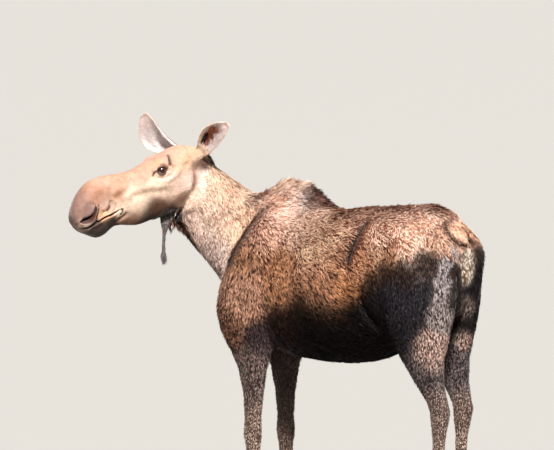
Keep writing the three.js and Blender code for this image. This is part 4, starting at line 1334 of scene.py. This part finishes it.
def grow(
    name,
    slot,
    share,
    locks,
    each,
    spread,
    skin_map,
    wide,
    wander=0.3,
    stand=1.0,
    long=1.0,
    joints=2,
    contrast=1.0,
    pale=0.0,
):
    """Coat on part of the body: so many locks of so many tufts, with the looks of their places."""
    roots, outward = rooted(share, locks)
    coat = coat_at(roots)
    lock = np.repeat(np.arange(locks), each)
    count = len(lock)
    under, tip = hair_colours(roots, coat, lock, contrast, pale)
    swirl = np.stack([drift(roots, 0.05, seed) for seed in (21, 22, 23)], 1)
    lie = coat["lie"] + swirl * wander + luck.normal(0, 0.14, (locks, 3))
    lie = unit(lie - outward * (lie * outward).sum(1)[:, None])
    across = np.cross(lie, outward)[lock]
    aside = luck.normal(0, spread, (count, 1))
    ahead = luck.uniform(-1.6, 1.6, (count, 1)) * spread
    depth = coat_depth(roots) * (1 + 0.25 * drift(roots, 0.04, 24))
    depth = depth * luck.uniform(0.55, 1.1, locks) * stand
    length = coat["length"] * luck.uniform(0.65, 1.0, locks) * long
    length = length[lock] * luck.uniform(0.75, 1.1, count)
    rise = depth[lock] * luck.uniform(0.6, 1.0, count)
    width = wide[0] + length * wide[1] * luck.uniform(0.75, 1.25, count)
    strewn = roots[lock] + (across * aside + lie[lock] * ahead) / 1000
    spots = skin_map(strewn)
    lie = lie[lock] + luck.normal(0, 0.07, (count, 3))
    gather = across * aside * -0.8
    tufted(name, slot, strewn, outward[lock], lie, length, width, rise, under, tip, spots, joints, gather)


TRUNK_LOCKS = 14600
for name, share in (
    ("coat_front_left", on_trunk * is_left * in_front),
    ("coat_front_right", on_trunk * (1 - is_left) * in_front),
    ("coat_rear_left", on_trunk * is_left * (1 - in_front)),
    ("coat_rear_right", on_trunk * (1 - is_left) * (1 - in_front)),
):
    grow(name, "coat_body", share, TRUNK_LOCKS, 4, 2.2, body_map, (1.1, 0.042))


# ---- the neck, the mane and the tail -------------------------------------------------------------
# The neck's hair is finer and paler. Along its crest and over the hump it grows long and stands
# up as a mane, dark at its back end. The short tail is covered with longer hair too.
NECK_LOCKS = 15000
grow("coat_neck", "coat_neck", in_neck, NECK_LOCKS, 4, 2.0, neck_map, (1.1, 0.042), contrast=0.85)

crest = hill(left, 0, 120) * ramp(up, 1640, 1700) * on_body_coat
crest *= 0.25 * ramp(back, -330, -200) + 0.75 * hill(back, 70, 260)
MANE_LOCKS = 1900
MANE_HAIR = {"wander": 0.5, "stand": 1.5, "long": 1.3, "joints": 4}
grow("mane", "coat_neck", crest, MANE_LOCKS, 6, 3.4, body_map, (1.4, 0.024), **MANE_HAIR)
TAIL_LOCKS = 1200
TAIL_HAIR = {"stand": 1.3, "long": 1.1, "joints": 3}
grow("coat_tail", "coat_body", on_tail, TAIL_LOCKS, 5, 2.0, body_map, (1.2, 0.04), **TAIL_HAIR)


# ---- the legs' coat ------------------------------------------------------------------------------
# Short, close hair that lies straight down the legs to the edge of the hooves.
legs_share = in_legs * ramp(up, 70, 90)
LEG_LOCKS = 15500
grow("coat_legs", "coat_legs", legs_share, LEG_LOCKS, 4, 1.6, leg_map, (1.3, 0.05), wander=0.2)


# ---- the face's coat -----------------------------------------------------------------------------
# The shortest hair of all, on the whole head but the lids and the nostrils. It lies back from the
# nose and grows longer on the jaw and the throat.
head_middles = on_head(hide_middles)
eye_near = np.hypot(*eye_frame(head_middles[:, [0, 2]]))
bare = (eye_near < 27) & (np.abs(head_middles[:, 1]) > 50)
mouth_gap = from_line(head_middles[:, [0, 2]], MOUTH)[0]
in_nostril = inside(head_middles[:, [0, 2]], np.array(NOSTRIL_TOP + NOSTRIL_WING[::-1]))
bare |= (np.abs(head_middles[:, 1]) > 25) & (head_middles[:, 0] > 480) & ((mouth_gap < 5) | in_nostril)
furred = in_head * ~bare
FACE_LOCKS = 21500
FACE_HAIR = {"wander": 0.25, "stand": 0.6, "contrast": 0.4, "pale": 0.8}
grow("coat_face", "coat_face", furred, FACE_LOCKS, 3, 1.1, head_map, (0.8, 0.05), **FACE_HAIR)


# ---- the ears' and the bell's coat ---------------------------------------------------------------
# Short hair lies over the backs of the ears towards their tips, a pale fringe stands along their
# edges, and long pale hair grows out of the cups. The bell is a fold of skin with long wet hair.
EAR_HAIR = {  # the colours near the skin and at the tip
    "back": ("2c2126", "7d6762"),
    "rim": ("dcc0ac", "fff4e6"),
    "cup": ("ecd6d2", "fffcfa"),
    "deep": ("5a2a1a", "d0886a"),
    # near black: painted shade in the hollow of the near ear's cup
    "hollow": ("080303", "28130e"),
}


def ear_looks(roots, outward):
    """The lie, length, colours and map of the hair on the ears."""
    head = on_head(roots)
    facing = outward @ head_axes.T
    near_left = head[:, 1] > 0
    lie = np.zeros_like(head)
    colours = np.zeros((len(head), 6))
    length = np.zeros(len(head))
    spots = np.zeros((len(head), 2))
    for side, chosen in (("left", near_left), ("right", ~near_left)):
        base, run, opening, across, sway, breadth, flare = ear_axes(side)
        place = head[chosen] - base
        share = place @ run / (run @ run)
        bent = run + across * (sway * math.pi * np.cos(math.pi * np.clip(share, 0, 1)))[:, None]
        half = np.interp(share, *np.array(EAR_SECTIONS)[:, :2].T) * breadth
        half = half * (1 + flare * (share - FLARE_FROM))
        aside = (place @ across - sway * np.sin(math.pi * np.clip(share, 0, 1))) / half
        cup = ramp(facing[chosen] @ opening, -0.1, 0.25)
        rim = ramp(np.abs(aside), 0.86, 0.97) + ramp(share, 0.93, 0.99)
        rim += 0.8 * ramp(aside, 0.62, 0.82) * ramp(share, 0.7, 0.5) * cup * (side == "left")
        rim = np.clip(rim, 0, 1)
        # On the far ear the pale fringe is left off the rear edge, which shows the dark colour of the
        # ear's back as painted shade.
        if side == "right":
            rim = rim * (1 - ramp(aside, -0.6, -0.8) * ramp(share, 0.8, 0.65))
        is_near = cup * (side == "left")  # only this one shows its inside
        patchy = drift(roots[chosen], 0.013, 31)
        deep = is_near * ramp(share, 0.85, 0.6) * ramp(share, 0.0, 0.1)
        deep = deep * ramp(np.abs(aside - 0.3) + 0.3 * patchy, 0.55, 0.3)
        # Near-black painted shade in the hollow low in the near ear's cup.
        hollow = is_near * hill(share, 0.2, 0.28) * hill(aside, 0.46, 0.34)
        hollow = ramp(hollow + 0.35 * patchy, 0.3, 0.5) * deep
        looks = np.zeros((chosen.sum(), 6))
        inner = 1 - rim
        weights = {
            "back": (1 - cup) * inner,
            "rim": rim,
            "cup": cup * inner * (1 - deep),
            "deep": (deep - hollow) * inner,
            "hollow": hollow * inner,
        }
        for kind, weight in weights.items():
            under, tip = EAR_HAIR[kind]
            looks += weight[:, None] * np.array([*linear(under), *linear(tip)])
        colours[chosen] = looks
        outwards = across * np.sign(aside)[:, None]
        lie[chosen] = unit(bent) + outwards * (0.25 * rim + 0.1)[:, None]
        lie[chosen] += opening * (0.55 * cup * (1 - rim))[:, None]
        length[chosen] = 8 + 1 * rim + 13 * cup * (1 - rim) * hill(share, 0.35, 0.6)
        # The left ear has one half of the map and the right ear the other, with the cups above.
        spots[chosen, 0] = 0.25 + 0.2 * np.clip(aside, -1, 1) + (0.5 if side == "left" else 0)
        spots[chosen, 1] = MAP_EDGE + 0.46 * np.clip(share, 0, 1) + 0.5 * (cup > 0.5)
    return lie @ head_axes, length, colours[:, :3], colours[:, 3:], spots


EAR_TUFTS = 30000
roots, outward = rooted(in_ears, EAR_TUFTS)
lie, length, under, tip, spots = ear_looks(roots, outward)
length *= luck.uniform(0.6, 1.2, EAR_TUFTS)
rise = 1.2 + length * luck.uniform(0.05, 0.2, EAR_TUFTS)
tone = np.clip(0.75 + 0.25 * luck.normal(0, 1, EAR_TUFTS), 0, 1)[:, None]
lie += luck.normal(0, 0.16, (EAR_TUFTS, 3))
shaded = under * (0.5 + 0.5 * tone)
tip = under * (1 - tone) + tip * tone
width = 1.1 + length * 0.04
tufted("coat_ears", "coat_ears", roots, outward, lie, length, width, rise, shaded, tip, spots)

BELL_TUFTS = 9000
roots, outward = rooted(in_bell, BELL_TUFTS)
head = on_head(roots)
run = BELL_LINE[1] - BELL_LINE[0]
share = (head - BELL_LINE[0]) @ run / np.sum(run**2)
lie = np.array([0.0, 0.0, -1.0]) + luck.normal(0, 0.12, (BELL_TUFTS, 3))
length = luck.uniform(12, 26, BELL_TUFTS) * (1 + 0.6 * ramp(share, 0.6, 0.9))
tone = np.clip(0.4 + 0.35 * luck.normal(0, 1, BELL_TUFTS), 0, 1)[:, None]
BELL_UNDER = np.array(linear("221a18"))
BELL_TIP = np.array(linear("9a8f8c"))
turn = np.arctan2(head[:, 1] + 18, head[:, 0] - BELL_LINE[0][0] - share * 104) / (2 * math.pi) + 0.5
spots = mapped_to(turn, share)
width = 1.6 + length * 0.03
rise = 1.0 + length * 0.05
tip = BELL_UNDER * (1 - tone) + BELL_TIP * tone
under = BELL_UNDER * tone * 2
tufted("coat_bell", "coat_bell", roots, outward, lie, length, width, rise, under, tip, spots, 3)

# A bunch of long wet locks hangs from the throat behind the bell, along a line down its edge
# that is given as far to her left, back and up.
THROAT_LOCKS = 420
HAIRS_IN_LOCK = 8
THROAT_LINE = np.array([(208, -535, 1600), (155, -520, 1540), (112, -488, 1462), (85, -430, 1385)])
body_middles = on_body(hide_middles)
gap, share = from_line(body_middles[:, 1:], THROAT_LINE[:, 1:])
aside, _ = from_line(body_middles[:, [0, 2]], THROAT_LINE[:, [0, 2]])
hanging = np.exp(-((gap / 20) ** 2) - (aside / 30) ** 2) * (1.15 - share)
roots, outward = rooted(hanging, THROAT_LOCKS)
lock = np.repeat(np.arange(THROAT_LOCKS), HAIRS_IN_LOCK)
strewn = roots[lock] + luck.normal(0, 2.0, (len(lock), 3)) / 1000
lie = np.array([0.0, 0.4, -1.0]) + luck.normal(0, 0.1, (THROAT_LOCKS, 3))[lock]
lie += luck.normal(0, 0.03, (len(lock), 3))
along = from_line(on_body(roots)[:, 1:], THROAT_LINE[:, 1:])[1]
length = (luck.uniform(32, 66, THROAT_LOCKS) * (1.1 - 0.6 * along))[lock]
length *= luck.uniform(0.85, 1.05, len(lock))
tone = np.clip(0.35 + 0.3 * luck.normal(0, 1, THROAT_LOCKS), 0, 1)[lock][:, None]
THROAT_UNDER = np.array(linear("1a0f0c"))
THROAT_TIP = np.array(linear("b08a72"))
shade = THROAT_UNDER * (1 - tone) + THROAT_TIP * tone
inwards = (roots[lock] - strewn) * 900
width = 1.4 + length * 0.025
rise = 5 + length * 0.12
spots = neck_map(strewn)
outward = outward[lock]
under = shade * 0.7
hair = (length, width, rise, under, shade, spots)
tufted("coat_throat", "coat_neck", strewn, outward, lie, *hair, joints=4, gather=inwards)
